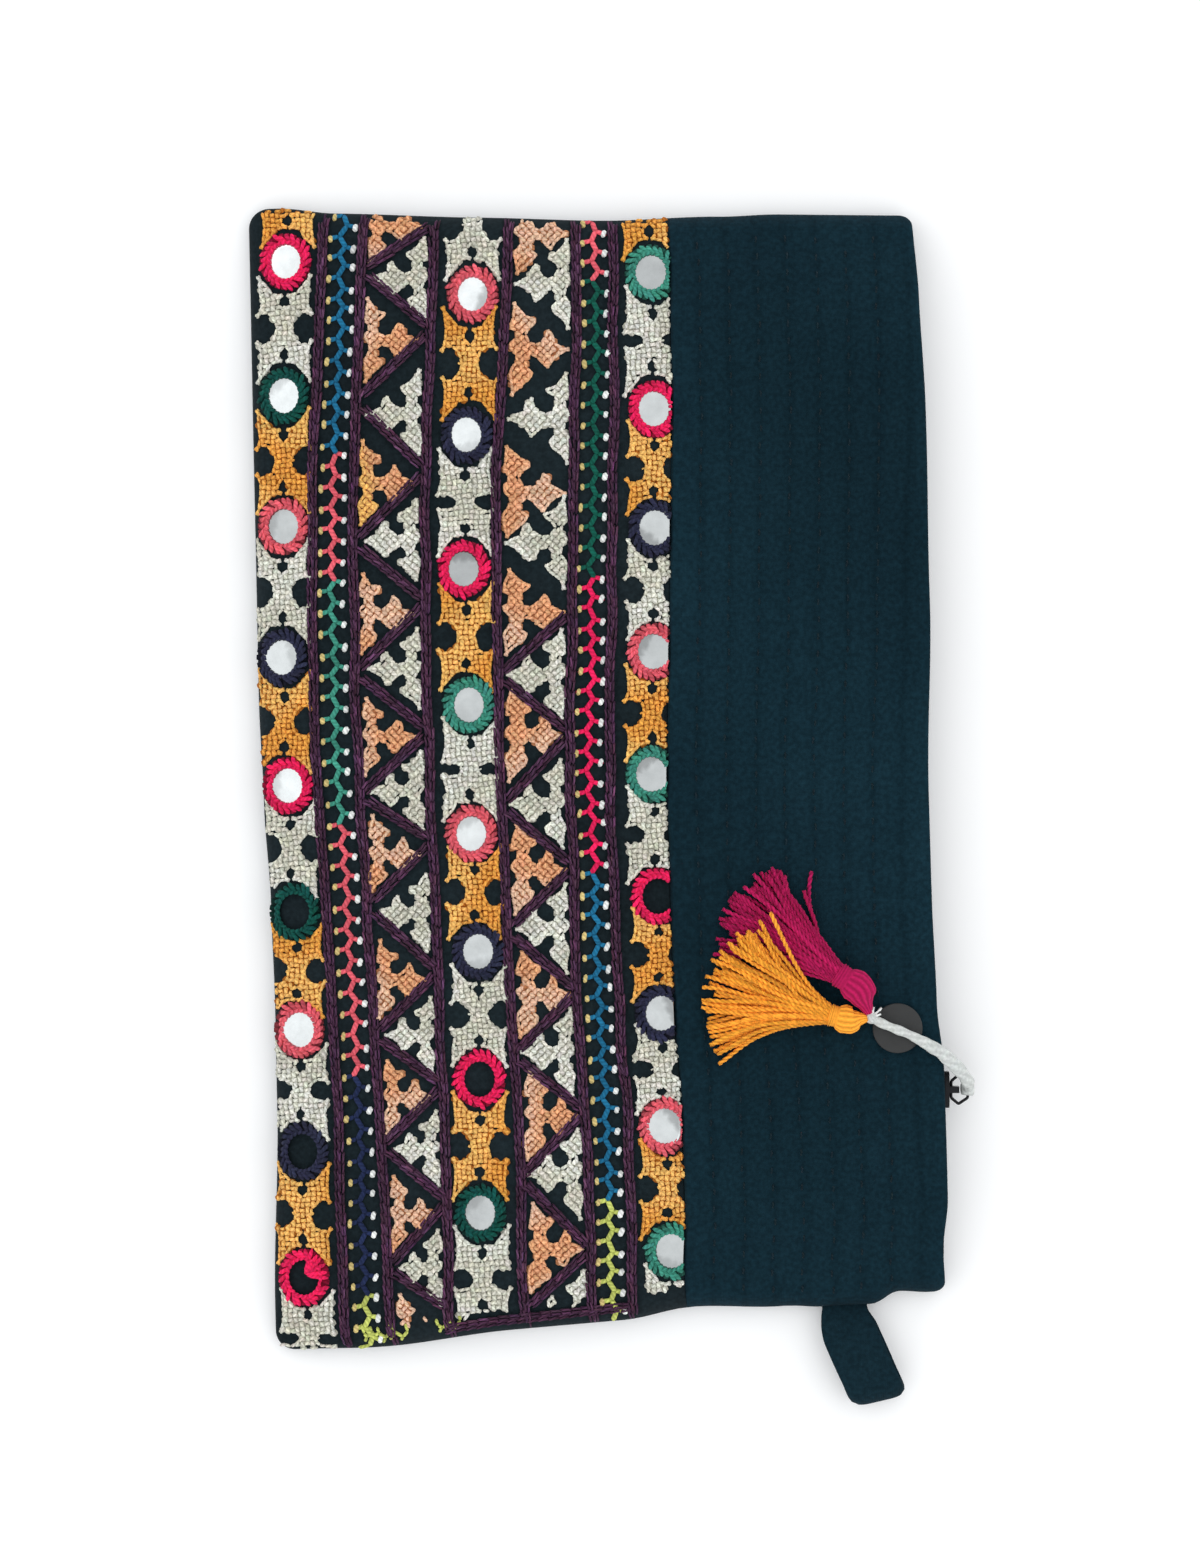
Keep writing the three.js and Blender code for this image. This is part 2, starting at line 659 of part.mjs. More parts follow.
function zipTape(side) {
  const ends = zipEnd / zipEdgeLength;
  const nearSlider = spread(sliderDown - 0.02, sliderDown + 0.03, 6);
  const downs = [...spread(ends, 1 - ends, zipRowCount), ...nearSlider].sort((a, b) => a - b);
  const rings = downs.map((down) => {
    const { x, y, middle, room } = mouthAt(down);
    const squeeze = Math.min(1, room / (chainHalfHeight + tapeThickness + gap));
    const parting = partingAt(down, room, squeeze);
    const chainTop = parting + chainHalfHeight * squeeze;
    const web = Math.max(chainTop + 0.01, room - tapeThickness * squeeze);
    return [
      [-tapeWidth, room],
      [-tapeInset, room],
      [-tapeInset, chainTop],
      [-chainInset, chainTop],
      [-chainInset, parting],
      [-chainInset - chainThickness, parting],
      [-chainInset - chainThickness, chainTop],
      [-tapeInset - tapeThickness, chainTop],
      [-tapeInset - tapeThickness, web],
      [-tapeWidth, web],
    ].map(([out, up]) => new THREE.Vector3(x + out, y, middle + side * up));
  });
  return loft3d(rings);
}

function sliderGeometry() {
  const at = (out, along, up) => new THREE.Vector3(slider.x + out, slider.y + along, slider.middle + up);
  const half = sliderLength / 2;
  const outer = { from: -chainInset + gap + 0.1, to: -chainInset + gap + 0.1 + sliderPlate };
  const inner = { to: -chainInset - chainThickness - gap };
  inner.from = inner.to - sliderPlate;
  const plateOutline = [
    [-half, sliderHalfHeight * 0.72],
    [-half * 0.2, sliderHalfHeight],
    [half * 0.75, sliderHalfHeight * 0.92],
    [half, sliderHalfHeight * 0.6],
  ];
  const whole = [...plateOutline, ...plateOutline.map(([a, u]) => [a, -u]).reverse()];
  const plate = (from, to, scale) =>
    loft3d([from, to].map((out) => whole.map(([along, up]) => at(out, -along, up * scale))));
  const post = block(
    at(inner.to - 0.05, -half, -postHalfHeight),
    at(outer.from + 0.05, -half + postLength, postHalfHeight),
  );
  const window = { from: outer.to, to: outer.to + pullWire + 2 * gap };
  const bailHalf = { width: bailWidth / 2, opening: bailHalfHeight - bailWall };
  const bail = subtract(
    block(
      at(outer.to - 0.05, -bailHalf.width, -bailHalfHeight),
      at(window.to + bailWall, bailHalf.width, bailHalfHeight),
    ),
    block(at(window.from, -bailWidth, -bailHalf.opening), at(window.to, bailWidth, bailHalf.opening)),
  );
  return union(
    plate(outer.from, outer.to, 1),
    plate(inner.from, inner.to, sliderInnerHalfHeight / sliderHalfHeight),
    post,
    bail,
  );
}

// The wire frame that hangs in the slider's bail, lying level.
const pullStart = -chainInset + gap + 0.1 + sliderPlate + gap; // its near bar, out from the zip edge
const pullEnd = pullStart + pullLength;

function pullerGeometry() {
  const outlineAt = (trim) => [
    [pullStart + trim, -pullBar / 2 + trim * 0.3],
    [lerp(pullStart, pullEnd, 0.45), -pullWidth / 2 + trim * 1.15],
    [pullEnd - trim, -pullBar / 2 + trim * 0.3],
    [pullEnd - trim, pullBar / 2 - trim * 0.3],
    [lerp(pullStart, pullEnd, 0.45), pullWidth / 2 - trim * 1.15],
    [pullStart + trim, pullBar / 2 - trim * 0.3],
  ];
  const frame = new THREE.Shape(outlineAt(0).map(([a, b]) => plan(a, b)));
  frame.holes.push(new THREE.Path(outlineAt(pullWire).map(([a, b]) => plan(a, b))));
  const settings = { depth: pullWire, bevelEnabled: false };
  const geometry = new THREE.ExtrudeGeometry(frame, settings);
  return geometry.translate(slider.x, slider.y, slider.middle - pullWire / 2);
}

// Cord, from the hitch on the puller's far bar to the knot between the tassels
const hitchHole = pullWire * Math.SQRT1_2 + gap;
const hitch = new THREE.Vector3(slider.x + pullEnd - pullWire / 2, slider.y, slider.middle);

function hitchGeometry() {
  const rim = hitchHole + hitchWall;
  const profile = [
    [hitchHole, -hitchWidth / 2],
    [rim, -hitchWidth / 2],
    [rim, hitchWidth / 2],
    [hitchHole, hitchWidth / 2],
    [hitchHole, -hitchWidth / 2],
  ].map(([r, h]) => plan(r, h));
  return new THREE.LatheGeometry(profile, 10).translate(hitch.x, hitch.y, hitch.z);
}

// Height of the band's top under a point given by mm in from the zip edge and mm up from the slider.
function bandSpot(inward, up) {
  const down = sliderDown - up / zipEdgeLength;
  const across = 1 - inward / pouchWidth;
  const { x, y } = planPoint(across, down);
  return { x, y, top: frontOuter(Math.min(1, across), down, quiltRelief) + quiltDepth };
}

function bandTopAt({ x, y }) {
  const down = sliderDown - (y - slider.y) / zipEdgeLength;
  return bandSpot(planPoint(1, down).x - x, y - slider.y).top;
}

const charmSpot = bandSpot(charmPlace.inward, charmPlace.up);
const cordPoints = cordRoute.map(({ inward, up, over }) => {
  const { x, y, top } = bandSpot(inward, up);
  const onBand = top + gap + cordRadius;
  const heights = {
    puller: hitch.z + hitchHole + hitchWall + gap + cordRadius * 0.8,
    air: lerp(hitch.z + hitchHole + hitchWall + gap + cordRadius, mouthHeight + cordRadius, 0.45),
    edge: mouthHeight + gap + cordRadius + 0.2,
    band: onBand + 0.7,
    charm: Math.max(top, charmSpot.top) + 2 * gap + charmThickness + cordRadius + 0.1,
  };
  return new THREE.Vector3(x, y, heights[over]);
});
const cordPath = new THREE.CatmullRomCurve3(cordPoints, false, "centripetal");
const knot = cordPoints.at(-1).clone();
const knotBall = knot.clone().setZ(knot.z + knotRadius - cordRadius);

function cordGeometry() {
  const section = new THREE.Shape(
    range(8).map((k) => {
      const angle = (2 * Math.PI * (k + 0.5)) / 8;
      return plan(Math.cos(angle) * cordRadius, Math.sin(angle) * cordRadius);
    }),
  );
  const settings = { steps: 18, extrudePath: cordPath, bevelEnabled: false };
  const tube = new THREE.ExtrudeGeometry(section, settings);
  const ball = new THREE.SphereGeometry(knotRadius, 10, 7).translate(knotBall.x, knotBall.y, knotBall.z);
  return union(indexed(tube), indexed(ball));
}

function indexed(geometry) {
  const bare = new THREE.BufferGeometry().setAttribute("position", geometry.getAttribute("position"));
  if (geometry.index) bare.setIndex(geometry.index);
  return mergeVertices(bare, 1e-4);
}

function charmGeometry() {
  return new THREE.CylinderGeometry(charmRadius, charmRadius, charmThickness, 20)
    .rotateX(Math.PI / 2)
    .translate(charmSpot.x, charmSpot.y, charmSpot.top + gap + charmThickness / 2);
}

// A tassel: a head, a wrapped neck and a skirt of locks that fan out over the band.
// heading is the way the middle of its skirt points, in degrees from +X towards +Y.
function tasselGeometry({ place, head, heading, fan, locks, length }) {
  const spot = bandSpot(place.inward, place.up);
  const centre = new THREE.Vector3(spot.x, spot.y, spot.top + gap + head * 0.96);
  const turned = (degrees) => {
    const angle = (degrees * Math.PI) / 180;
    return new THREE.Vector3(Math.cos(angle), Math.sin(angle), 0);
  };
  const forward = turned(heading);
  const ball = new THREE.SphereGeometry(head, 10, 8).rotateX(Math.PI / 2).scale(1, 1, 0.96);
  ball.translate(centre.x, centre.y, centre.z);
  const neckRadius = head * neckShare;
  const neck = new THREE.CylinderGeometry(neckRadius, neckRadius, neckLength, 10).rotateZ(Math.PI / 2);
  neck.rotateZ((heading * Math.PI) / 180);
  const neckMiddle = centre.clone().addScaledVector(forward, head * 0.75 + neckLength / 2 - 0.4);
  neck.translate(neckMiddle.x, neckMiddle.y, neckMiddle.z);
  const start = centre.clone().addScaledVector(forward, head * 0.75 + neckLength * 0.5);
  const skirt = range(locks).map((k) => {
    const t = k / (locks - 1) - 0.5;
    const way = turned(heading + fan * t);
    const side = new THREE.Vector3(-way.y, way.x, 0);
    const reach = length * (1 - 0.12 * Math.abs(t) + (k % 2 ? -0.05 : 0.02));
    const rings = [0, 0.3, 0.65, 1].map((s) => {
      const along = lerp(0, reach, s);
      const foot = start.clone().addScaledVector(forward, along * 0.35 * (1 - s));
      foot.addScaledVector(way, along - along * 0.35 * (1 - s));
      const wide = lerp(neckRadius * 0.42, (fan * Math.PI * length) / 180 / locks / 1.7, s);
      const tall = lerp(neckRadius * 0.8, 1.3, smooth(s * 1.2));
      const rest = bandTopAt(foot) + gap + tall;
      const bed = lerp(Math.max(rest, centre.z - neckRadius * 0.8 + tall), rest, smooth(s * 1.5));
      return range(6).map((q) => {
        const angle = (2 * Math.PI * q) / 6;
        const point = foot.clone().addScaledVector(side, Math.cos(angle) * wide);
        point.z = bed + Math.sin(angle) * tall;
        return point;
      });
    });
    return loft3d(rings);
  });
  const tieWay = knotBall.clone().sub(centre);
  const stem = tieWay.length() - knotRadius - gap;
  const cone = new THREE.CylinderGeometry(0.9, head * 0.72, stem, 8).translate(0, stem / 2, 0);
  const turn = new THREE.Quaternion().setFromUnitVectors(new THREE.Vector3(0, 1, 0), tieWay.normalize());
  cone.applyQuaternion(turn).translate(centre.x, centre.y, centre.z);
  return union(...[ball, neck, ...skirt, cone].map(indexed));
}

const tassels = {
  magenta: { place: magentaPlace, head: magentaHead, heading: 134, fan: 44, locks: 7, length: 29 },
  gold: { place: goldPlace, head: goldHead, heading: 174, fan: 60, locks: 8, length: 28 },
};

// Hanging loop: a strap folded in two, whose ends lie in the side seam. Its middle line curves
// towards the zip, its two legs part and its bend stands open.
function loopGeometry() {
  const across = 1 - loopFromZip / pouchWidth;
  const root = planPoint(across, 1);
  const way = (s) => (-90 + loopTurn * Math.sin((clamp(s) * Math.PI) / 2)) * (Math.PI / 180);
  const steps = 12;
  const line = [plan(root.x, root.y - gap)];
  range(steps).forEach((k) => {
    const angle = way((k + 0.5) / steps);
    const stride = loopLength / steps;
    line.push(line[k].clone().add(plan(Math.cos(angle), Math.sin(angle)).multiplyScalar(stride)));
  });
  const spotAt = (s) => {
    const k = Math.min(steps - 1, Math.floor(s * steps));
    const angle = way(s);
    const point = line[k].clone().lerp(line[k + 1], s * steps - k);
    return { point, side: plan(-Math.sin(angle), Math.cos(angle)) };
  };
  // The folded strap seen from the side: share of the length, and height of its outer and inner face.
  const bendRadius = loopBulge / 2;
  const bendShare = bendRadius / loopLength;
  const legs = [0, 0.12, 0.28, 0.5, 1 - bendShare];
  const ease = (s) => Math.sin((clamp(s / (1 - bendShare)) * Math.PI) / 2);
  const low = (s) => lerp(seamHeight - loopThickness, 0, smooth(s / 0.5));
  const high = (s) => lerp(seamHeight + loopThickness, loopBulge, ease(s));
  const upperOuter = legs.map((s) => ({ s, z: high(s) }));
  const lowerOuter = [...legs].reverse().map((s) => ({ s, z: low(s) }));
  const bendAngles = [60, 30, 0, -30, -60].map((d) => (d * Math.PI) / 180);
  const bend = (r) =>
    bendAngles.map((a) => ({
      s: 1 - bendShare + (r * Math.cos(a)) / loopLength,
      z: bendRadius + r * Math.sin(a),
    }));
  const outer = [...upperOuter, ...bend(bendRadius), ...lowerOuter];
  const innerLegs = legs.slice(1);
  const spare = Math.min(0.12, gap / 2);
  const inner = [
    ...innerLegs.map((s) => ({ s, z: Math.max(high(s) - loopThickness, seamHeight + spare) })),
    ...bend(bendRadius - loopThickness),
    ...[...innerLegs].reverse().map((s) => ({ s, z: low(s) + loopThickness })),
  ];
  const halfAt = (s) => lerp(loopRootWidth, loopWidth, smooth(s / 0.35)) / 2;
  const ringOf = (profile, sign) =>
    profile.map(({ s, z }) => {
      const { point, side } = spotAt(clamp(s));
      const place = point.clone().addScaledVector(side, sign * halfAt(s));
      return new THREE.Vector3(place.x, place.y, z);
    });
  const body = loft3d([-1, 1].map((sign) => ringOf(outer, sign)));
  const hole = loft3d([-1.3, 1.3].map((sign) => ringOf(inner, sign)));
  return subtract(body, hole);
}

// Materials
const cloth = (color, roughness = 0.95) => new THREE.MeshStandardMaterial({ color, roughness, metalness: 0 });
const materials = {
  ground: cloth(0x16242a),
  cotton: cloth(0x10252c),
  tape: cloth(0x15181b, 0.8),
  glass: new THREE.MeshStandardMaterial({ color: 0xdfe6e8, roughness: 0.08, metalness: 1 }),
  blackMetal: new THREE.MeshStandardMaterial({ color: 0x1b1b1e, roughness: 0.35, metalness: 0.9 }),
  charm: new THREE.MeshStandardMaterial({ color: 0x46434a, roughness: 0.6, metalness: 0.1 }),
  whiteCord: cloth(0xdfe3e0),
  magenta: cloth(0xa3195b),
  gold: cloth(0xe9982b),
  crimson: cloth(0xe01f52),
  coral: cloth(0xdf5a5f),
  green: cloth(0x0f5a50),
  teal: cloth(0x3f9079),
  navy: cloth(0x3a3b57),
};
const ringThreads = {
  left: ["crimson", "green", "coral", "navy", "crimson", "green", "coral", "navy", "crimson"],
  middle: ["coral", "navy", "crimson", "teal", "coral", "navy", "crimson", "green"],
  right: ["teal", "crimson", "navy", "coral", "teal", "crimson", "navy", "coral", "teal"],
};

// The assembly
const pouch = new THREE.Group();
function add(name, geometry, material) {
  const mesh = new THREE.Mesh(geometry, material);
  mesh.name = name;
  pouch.add(mesh);
  return mesh;
}

add("embroidered_panel", embroideredPanel(), materials.ground);
add("quilted_band", quiltedBand(), materials.cotton);
add("back_panel", backPanel(), materials.cotton);

const hidden = pastSeam();
Object.entries(borders).forEach(([border, lines]) => {
  lines.rings.forEach(({ across, down, glass }, k) => {
    const trimmed = (geometry) => (border === "right" ? subtract(geometry, hidden) : geometry);
    const thread = materials[ringThreads[border][k]];
    add(`mirror_ring_${border}_${k + 1}`, trimmed(ringGeometry(across, down, lines)), thread);
    if (glass) add(`mirror_${border}_${k + 1}`, trimmed(mirrorGeometry(across, down)), materials.glass);
  });
});

add("zip_tape_upper", zipTape(1), materials.tape);
add("zip_tape_lower", zipTape(-1), materials.tape);
add("zip_slider", sliderGeometry(), materials.blackMetal);
add("zip_puller", pullerGeometry(), materials.blackMetal);
add("hanging_loop", loopGeometry(), materials.cotton);

const onCord = [
  add("cord_hitch", hitchGeometry(), materials.whiteCord),
  add("pull_cord", cordGeometry(), materials.whiteCord),
  add("charm_disc", charmGeometry(), materials.charm),
  add("tassel_magenta", tasselGeometry(tassels.magenta), materials.magenta),
  add("tassel_gold", tasselGeometry(tassels.gold), materials.gold),
];

// The frame's origin is under the middle of the pouch, without the cord and what is on it.
const fixed = new THREE.Box3();
pouch.children.filter((mesh) => !onCord.includes(mesh)).forEach((mesh) => fixed.expandByObject(mesh));
const middle = fixed.getCenter(new THREE.Vector3());
pouch.position.set(-middle.x, -middle.y, -fixed.min.z);

export default pouch;
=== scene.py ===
import math

import bpy
import numpy as np
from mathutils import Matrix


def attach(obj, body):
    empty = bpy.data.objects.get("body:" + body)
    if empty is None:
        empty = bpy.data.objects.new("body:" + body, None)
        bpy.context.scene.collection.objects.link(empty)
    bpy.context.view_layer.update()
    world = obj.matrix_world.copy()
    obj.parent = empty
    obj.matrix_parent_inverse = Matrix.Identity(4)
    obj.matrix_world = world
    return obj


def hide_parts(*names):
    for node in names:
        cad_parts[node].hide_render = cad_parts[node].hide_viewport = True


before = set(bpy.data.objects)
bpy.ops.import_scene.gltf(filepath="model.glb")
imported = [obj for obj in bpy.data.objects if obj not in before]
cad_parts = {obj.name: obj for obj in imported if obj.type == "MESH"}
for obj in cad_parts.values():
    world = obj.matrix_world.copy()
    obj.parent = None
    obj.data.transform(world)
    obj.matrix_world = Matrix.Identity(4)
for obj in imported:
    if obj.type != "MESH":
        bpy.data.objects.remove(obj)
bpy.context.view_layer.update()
chance = np.random.default_rng(11)

# Everything below is worked out in millimetres on the pouch's own plan, where the fold runs down the
# left at -X and the zip down the right at +X. frameShift moves that plan into the frame.
frameShift = np.array([-3.7363, 6.8845, 0.0])


def toFrame(points):
    return (np.asarray(points, float) + frameShift) * 0.001


def dye(code):
    # a screen colour such as "a31b5b" as linear light
    share = np.array([int(code[k : k + 2], 16) for k in (0, 2, 4)]) / 255
    return np.where(share <= 0.04045, share / 12.92, ((share + 0.055) / 1.055) ** 2.4)


# Camera, floor and light, in metres and watts
studio = {
    "distance": 1.35,
    "down": 0.3855,  # what the picture's height shows at the sharp height
    "lookAt": (-0.00214, 0.00913),
    "sharpHeight": 0.009,
    "sky": 1.1,
    "lights": (
        ("keySoftbox", (-0.55, 0.65, 0.8), 0.35, 3.0),
        ("fillSoftbox", (0.7, -0.3, 0.9), 0.6, 0.7),
    ),
}


def setInputs(node, **values):
    # underscores stand for the spaces in an input's name
    for key, value in values.items():
        node.inputs[key.replace("_", " ")].default_value = value


def setStudio():
    scene = bpy.context.scene
    scene.view_settings.view_transform = "Standard"
    scene.view_settings.look = "None"
    lens = bpy.data.cameras.new("camera")
    lens.sensor_fit, lens.sensor_height = "VERTICAL", 24
    lens.lens = lens.sensor_height * (studio["distance"] - studio["sharpHeight"]) / studio["down"]
    lens.clip_start, lens.clip_end = 0.01, 20
    camera = bpy.data.objects.new("camera", lens)
    camera.location = (*studio["lookAt"], studio["distance"])
    scene.collection.objects.link(camera)
    scene.camera = camera

    bpy.ops.mesh.primitive_plane_add(size=6, location=(0, 0, -0.0002))
    floor = bpy.context.object
    floor.name = "floor"
    paper = bpy.data.materials.new("whitePaper")
    paper.use_nodes = True
    shader = paper.node_tree.nodes["Principled BSDF"]
    setInputs(shader, Base_Color=(0.97, 0.97, 0.97, 1), Roughness=0.9, Specular_IOR_Level=0.1)
    setInputs(shader, Emission_Color=(1, 1, 1, 1), Emission_Strength=0.09)
    floor.data.materials.append(paper)

    world = bpy.data.worlds.new("sky")
    scene.world = world
    world.use_nodes = True
    sky = world.node_tree.nodes["Background"]
    setInputs(sky, Color=(0.97, 0.985, 1, 1), Strength=studio["sky"])
    for name, spot, size, watts in studio["lights"]:
        light = bpy.data.lights.new(name, "AREA")
        light.size, light.energy = size, watts
        lamp = bpy.data.objects.new(name, light)
        lamp.location = spot
        aim = np.array([0, 0, 0.01]) - np.array(spot)
        lamp.rotation_euler = (math.acos(-aim[2] / np.linalg.norm(aim)), 0, math.atan2(aim[0], -aim[1]))
        scene.collection.objects.link(lamp)


setStudio()
print("camera, floor and light set")


# The pouch's plan and heights, from the same sizes as its solids
pouch = {
    "width": 166.3,
    "foldLength": 286.5,
    "zipEdgeLength": 270.3,
    "zipEdgeDrop": 1.5,
    "foldLean": 7.0,
    "zipLean": 8.5,
    "edgeWander": 2.0,
    "foldCorner": 5.0,
    "zipCorner": 3.0,
    "loft": 15.0,
    "mouthHeight": 14.4,
    "seamHeight": 2.7,
    "wall": 2.0,
    "hem": 2.3,
    "hemWidth": 8.0,
    "hemFlat": 0.8,
    "frontRoll": 4.5,
    "backRoll": 5.0,
    "pillowSpread": 36.0,
    "rollShare": 0.42,
    "gap": 0.3,
}
# how far each edge strays outwards, in edgeWander, at shares of its length
edgeStray = {
    "fold": (
        (0, 0.26, 0.43, 0.52, 0.61, 0.7, 0.79, 0.96, 1),
        (0, 0.12, 0.2, -0.12, -0.7, -0.9, -0.85, 0, 0),
    ),
    "zip": (
        (0, 0.08, 0.18, 0.36, 0.54, 0.64, 0.73, 0.79, 0.91, 0.96, 1),
        (0, 0.42, 0.8, 0.55, -0.35, -0.35, -0.15, 0.5, 0.5, -0.2, 0),
    ),
    "upper": (
        (0, 0.05, 0.13, 0.35, 0.53, 0.71, 0.8, 1),
        (0, 0.15, -0.4, -0.75, -1, -0.35, 0, 0),
    ),
    "lower": (
        (0, 0.17, 0.35, 0.52, 0.62, 0.76, 0.82, 0.89, 0.93, 0.98, 1),
        (0, 0.7, 0, 0, -0.9, 0, 0.5, 0.7, -0.6, -0.15, 0),
    ),
}
stripeLength = 280  # mm, a mean one
# share of the width at which each braid, and last the seam, crosses the panel at its quarters
stripes = {
    "braidA": (0.115, 0.089, 0.084, 0.091, 0.105),
    "braidB": (0.174, 0.15, 0.148, 0.153, 0.174),
    "braidC": (0.281, 0.257, 0.254, 0.252, 0.262),
    "braidD": (0.393, 0.363, 0.36, 0.36, 0.373),
    "braidE": (0.493, 0.476, 0.464, 0.46, 0.475),
    "braidF": (0.548, 0.534, 0.523, 0.523, 0.535),
    "seam": (0.632, 0.62, 0.609, 0.605, 0.614),
}


def mix(a, b, t):
    return a + (b - a) * t


def clamp(t):
    return np.clip(t, 0, 1)


def smooth(t):
    return clamp(t) ** 2 * (3 - 2 * clamp(t))


def quarter(t):
    return np.sqrt(np.maximum(0, 1 - (1 - clamp(t)) ** 2))


def through(values, t):
    # smooth curve through evenly spaced values, a cubic between each two
    values = np.asarray(values, float)
    last = len(values) - 1
    i = np.minimum(last - 1, np.floor(clamp(t) * last).astype(int))
    f = clamp(t) * last - i
    a, b, c, d = (values[np.clip(i + k, 0, last)] for k in (-1, 0, 1, 2))
    return b + 0.5 * f * (c - a + f * (2 * a - 5 * b + 4 * c - d + f * (3 * (b - c) + d - a)))


def arrow(angle, *rest):
    # unit vector at each angle on the plan
    return np.stack([np.cos(angle), np.sin(angle), *rest], -1)


def unit(vectors, least=0.0):
    return vectors / np.maximum(np.linalg.norm(vectors, axis=-1, keepdims=True), least)


def leftOf(ahead):
    return np.stack([-ahead[..., 1], ahead[..., 0]], -1)


def runAlong(line):
    # length from the start of a line to each of its points
    return np.concatenate([[0], np.cumsum(np.linalg.norm(np.diff(line, axis=0), axis=1))])


def pointsAt(at, run, line):
    return np.stack([np.interp(at, run, column) for column in line.T], -1)


def roundTurn(count):
    return np.arange(count) * 2 * math.pi / count


def stripeAt(name, down):
    return through(stripes[name], down)


def edgeLine(start, end, startRadius, endRadius, stray, outwards):
    # straight line, plus its stray outwards, less what rounds its two corners
    at, out = (np.array(row, float) for row in stray)
    length = np.hypot(*(end - start))
    along = (end - start) / length
    away = np.array([along[1], -along[0]]) * outwards
    diagonal = 1 - math.sqrt(0.5)

    def cut(s, radius):
        return np.where(s < radius, radius - np.sqrt(np.maximum(0, radius**2 - (radius - s) ** 2)), 0)

    def line(t):
        s = mix(diagonal * startRadius, length - diagonal * endRadius, np.asarray(t, float))
        i = np.clip(np.searchsorted(at, s / length), 1, len(at) - 1)
        wander = mix(out[i - 1], out[i], smooth((s / length - at[i - 1]) / (at[i] - at[i - 1])))
        offset = pouch["edgeWander"] * wander - cut(s, startRadius) - cut(length - s, endRadius)
        return start + s[..., None] * along + offset[..., None] * away

    return line


def makePlan():
    # Coons patch: two ruled surfaces between opposite edges, less the one through the four corners
    halfWidth, top = pouch["width"] / 2, pouch["foldLength"] / 2
    lean, zipTop = pouch["foldLean"] / 2, pouch["foldLength"] / 2 - pouch["zipEdgeDrop"]
    corner = {
        "foldUpper": np.array([-halfWidth - lean, top]),
        "zipUpper": np.array([halfWidth - lean, zipTop]),
        "foldLower": np.array([-halfWidth + lean, -top]),
        "zipLower": np.array([halfWidth - lean + pouch["zipLean"], zipTop - pouch["zipEdgeLength"]]),
    }
    edges = {
        "fold": ("foldUpper", "foldLower", 1),
        "zip": ("zipUpper", "zipLower", -1),
        "upper": ("foldUpper", "zipUpper", -1),
        "lower": ("foldLower", "zipLower", 1),
    }
    radius = {name: pouch["foldCorner" if "fold" in name else "zipCorner"] for name in corner}
    line = {
        name: edgeLine(corner[a], corner[b], radius[a], radius[b], edgeStray[name], side)
        for name, (a, b, side) in edges.items()
    }
    # two edges that meet share the middle between their ends
    shared = {
        name: sum(line[edge](float(name == b)) for edge, (a, b, _) in edges.items() if name in (a, b)) / 2
        for name in corner
    }

    def joined(name, t):
        a, b, _ = edges[name]
        t = np.asarray(t, float)[..., None]
        toStart, toEnd = shared[a] - line[name](0.0), shared[b] - line[name](1.0)
        return line[name](t[..., 0]) + (1 - t) * toStart + t * toEnd

    def place(across, down):
        across, down = np.broadcast_arrays(np.asarray(across, float), np.asarray(down, float))
        u, v = across[..., None], down[..., None]
        ruled = joined("upper", across) * (1 - v) + joined("lower", across) * v
        ruled = ruled + joined("fold", down) * (1 - u) + joined("zip", down) * u
        ruled = ruled - shared["foldUpper"] * (1 - u) * (1 - v) - shared["zipUpper"] * u * (1 - v)
        return ruled - shared["foldLower"] * (1 - u) * v - shared["zipLower"] * u * v

    return place


planPlace = makePlan()


def sharesAt(x, y):
    # Newton's steps back from a plan point to its shares across and down
    target = np.stack([x, y], -1)
    u = clamp((target[..., 0] + 84) / 168)
    v = clamp((140 - target[..., 1]) / 280)
    for _ in range(7):
        here, e = planPlace(u, v), 1e-4
        du, dv = (planPlace(u + e, v) - here) / e, (planPlace(u, v + e) - here) / e
        miss = target - here
        det = du[..., 0] * dv[..., 1] - du[..., 1] * dv[..., 0]
        u = np.clip(u + (miss[..., 0] * dv[..., 1] - miss[..., 1] * dv[..., 0]) / det, -0.1, 1.1)
        v = np.clip(v + (du[..., 0] * miss[..., 1] - du[..., 1] * miss[..., 0]) / det, -0.1, 1.1)
    return u, v


def rollUp(d):
    turn = pouch["rollShare"] * quarter(d / pouch["frontRoll"])
    return turn + (1 - pouch["rollShare"]) * np.sin(clamp(d / pouch["pillowSpread"]) * math.pi / 2)


def fullness(across, down, inset, rise):
    length = mix(pouch["foldLength"], pouch["zipEdgeLength"], across)
    ends = [rise(np.maximum(0, t * length - inset)) for t in (down, 1 - down)]
    return rise(np.maximum(0, across * pouch["width"] - inset)) * ends[0] * ends[1]


def fromZip(across):
    return (1 - across) * pouch["width"]


def topLevel(across):
    return mix(pouch["loft"], pouch["mouthHeight"], smooth(2 * across - 1))


def hemTurn(across):
    rounded = 1 - quarter(fromZip(across) / (pouch["hem"] / 2))
    return (pouch["hem"] - pouch["hemFlat"]) / 2 * rounded


def wallAt(across):
    return mix(pouch["hem"], pouch["wall"], smooth(fromZip(across) / pouch["hemWidth"]))


frontSeam = pouch["seamHeight"] + pouch["gap"] / 2
backSeam = pouch["seamHeight"] - pouch["gap"] / 2


fullTurn = 6.2832


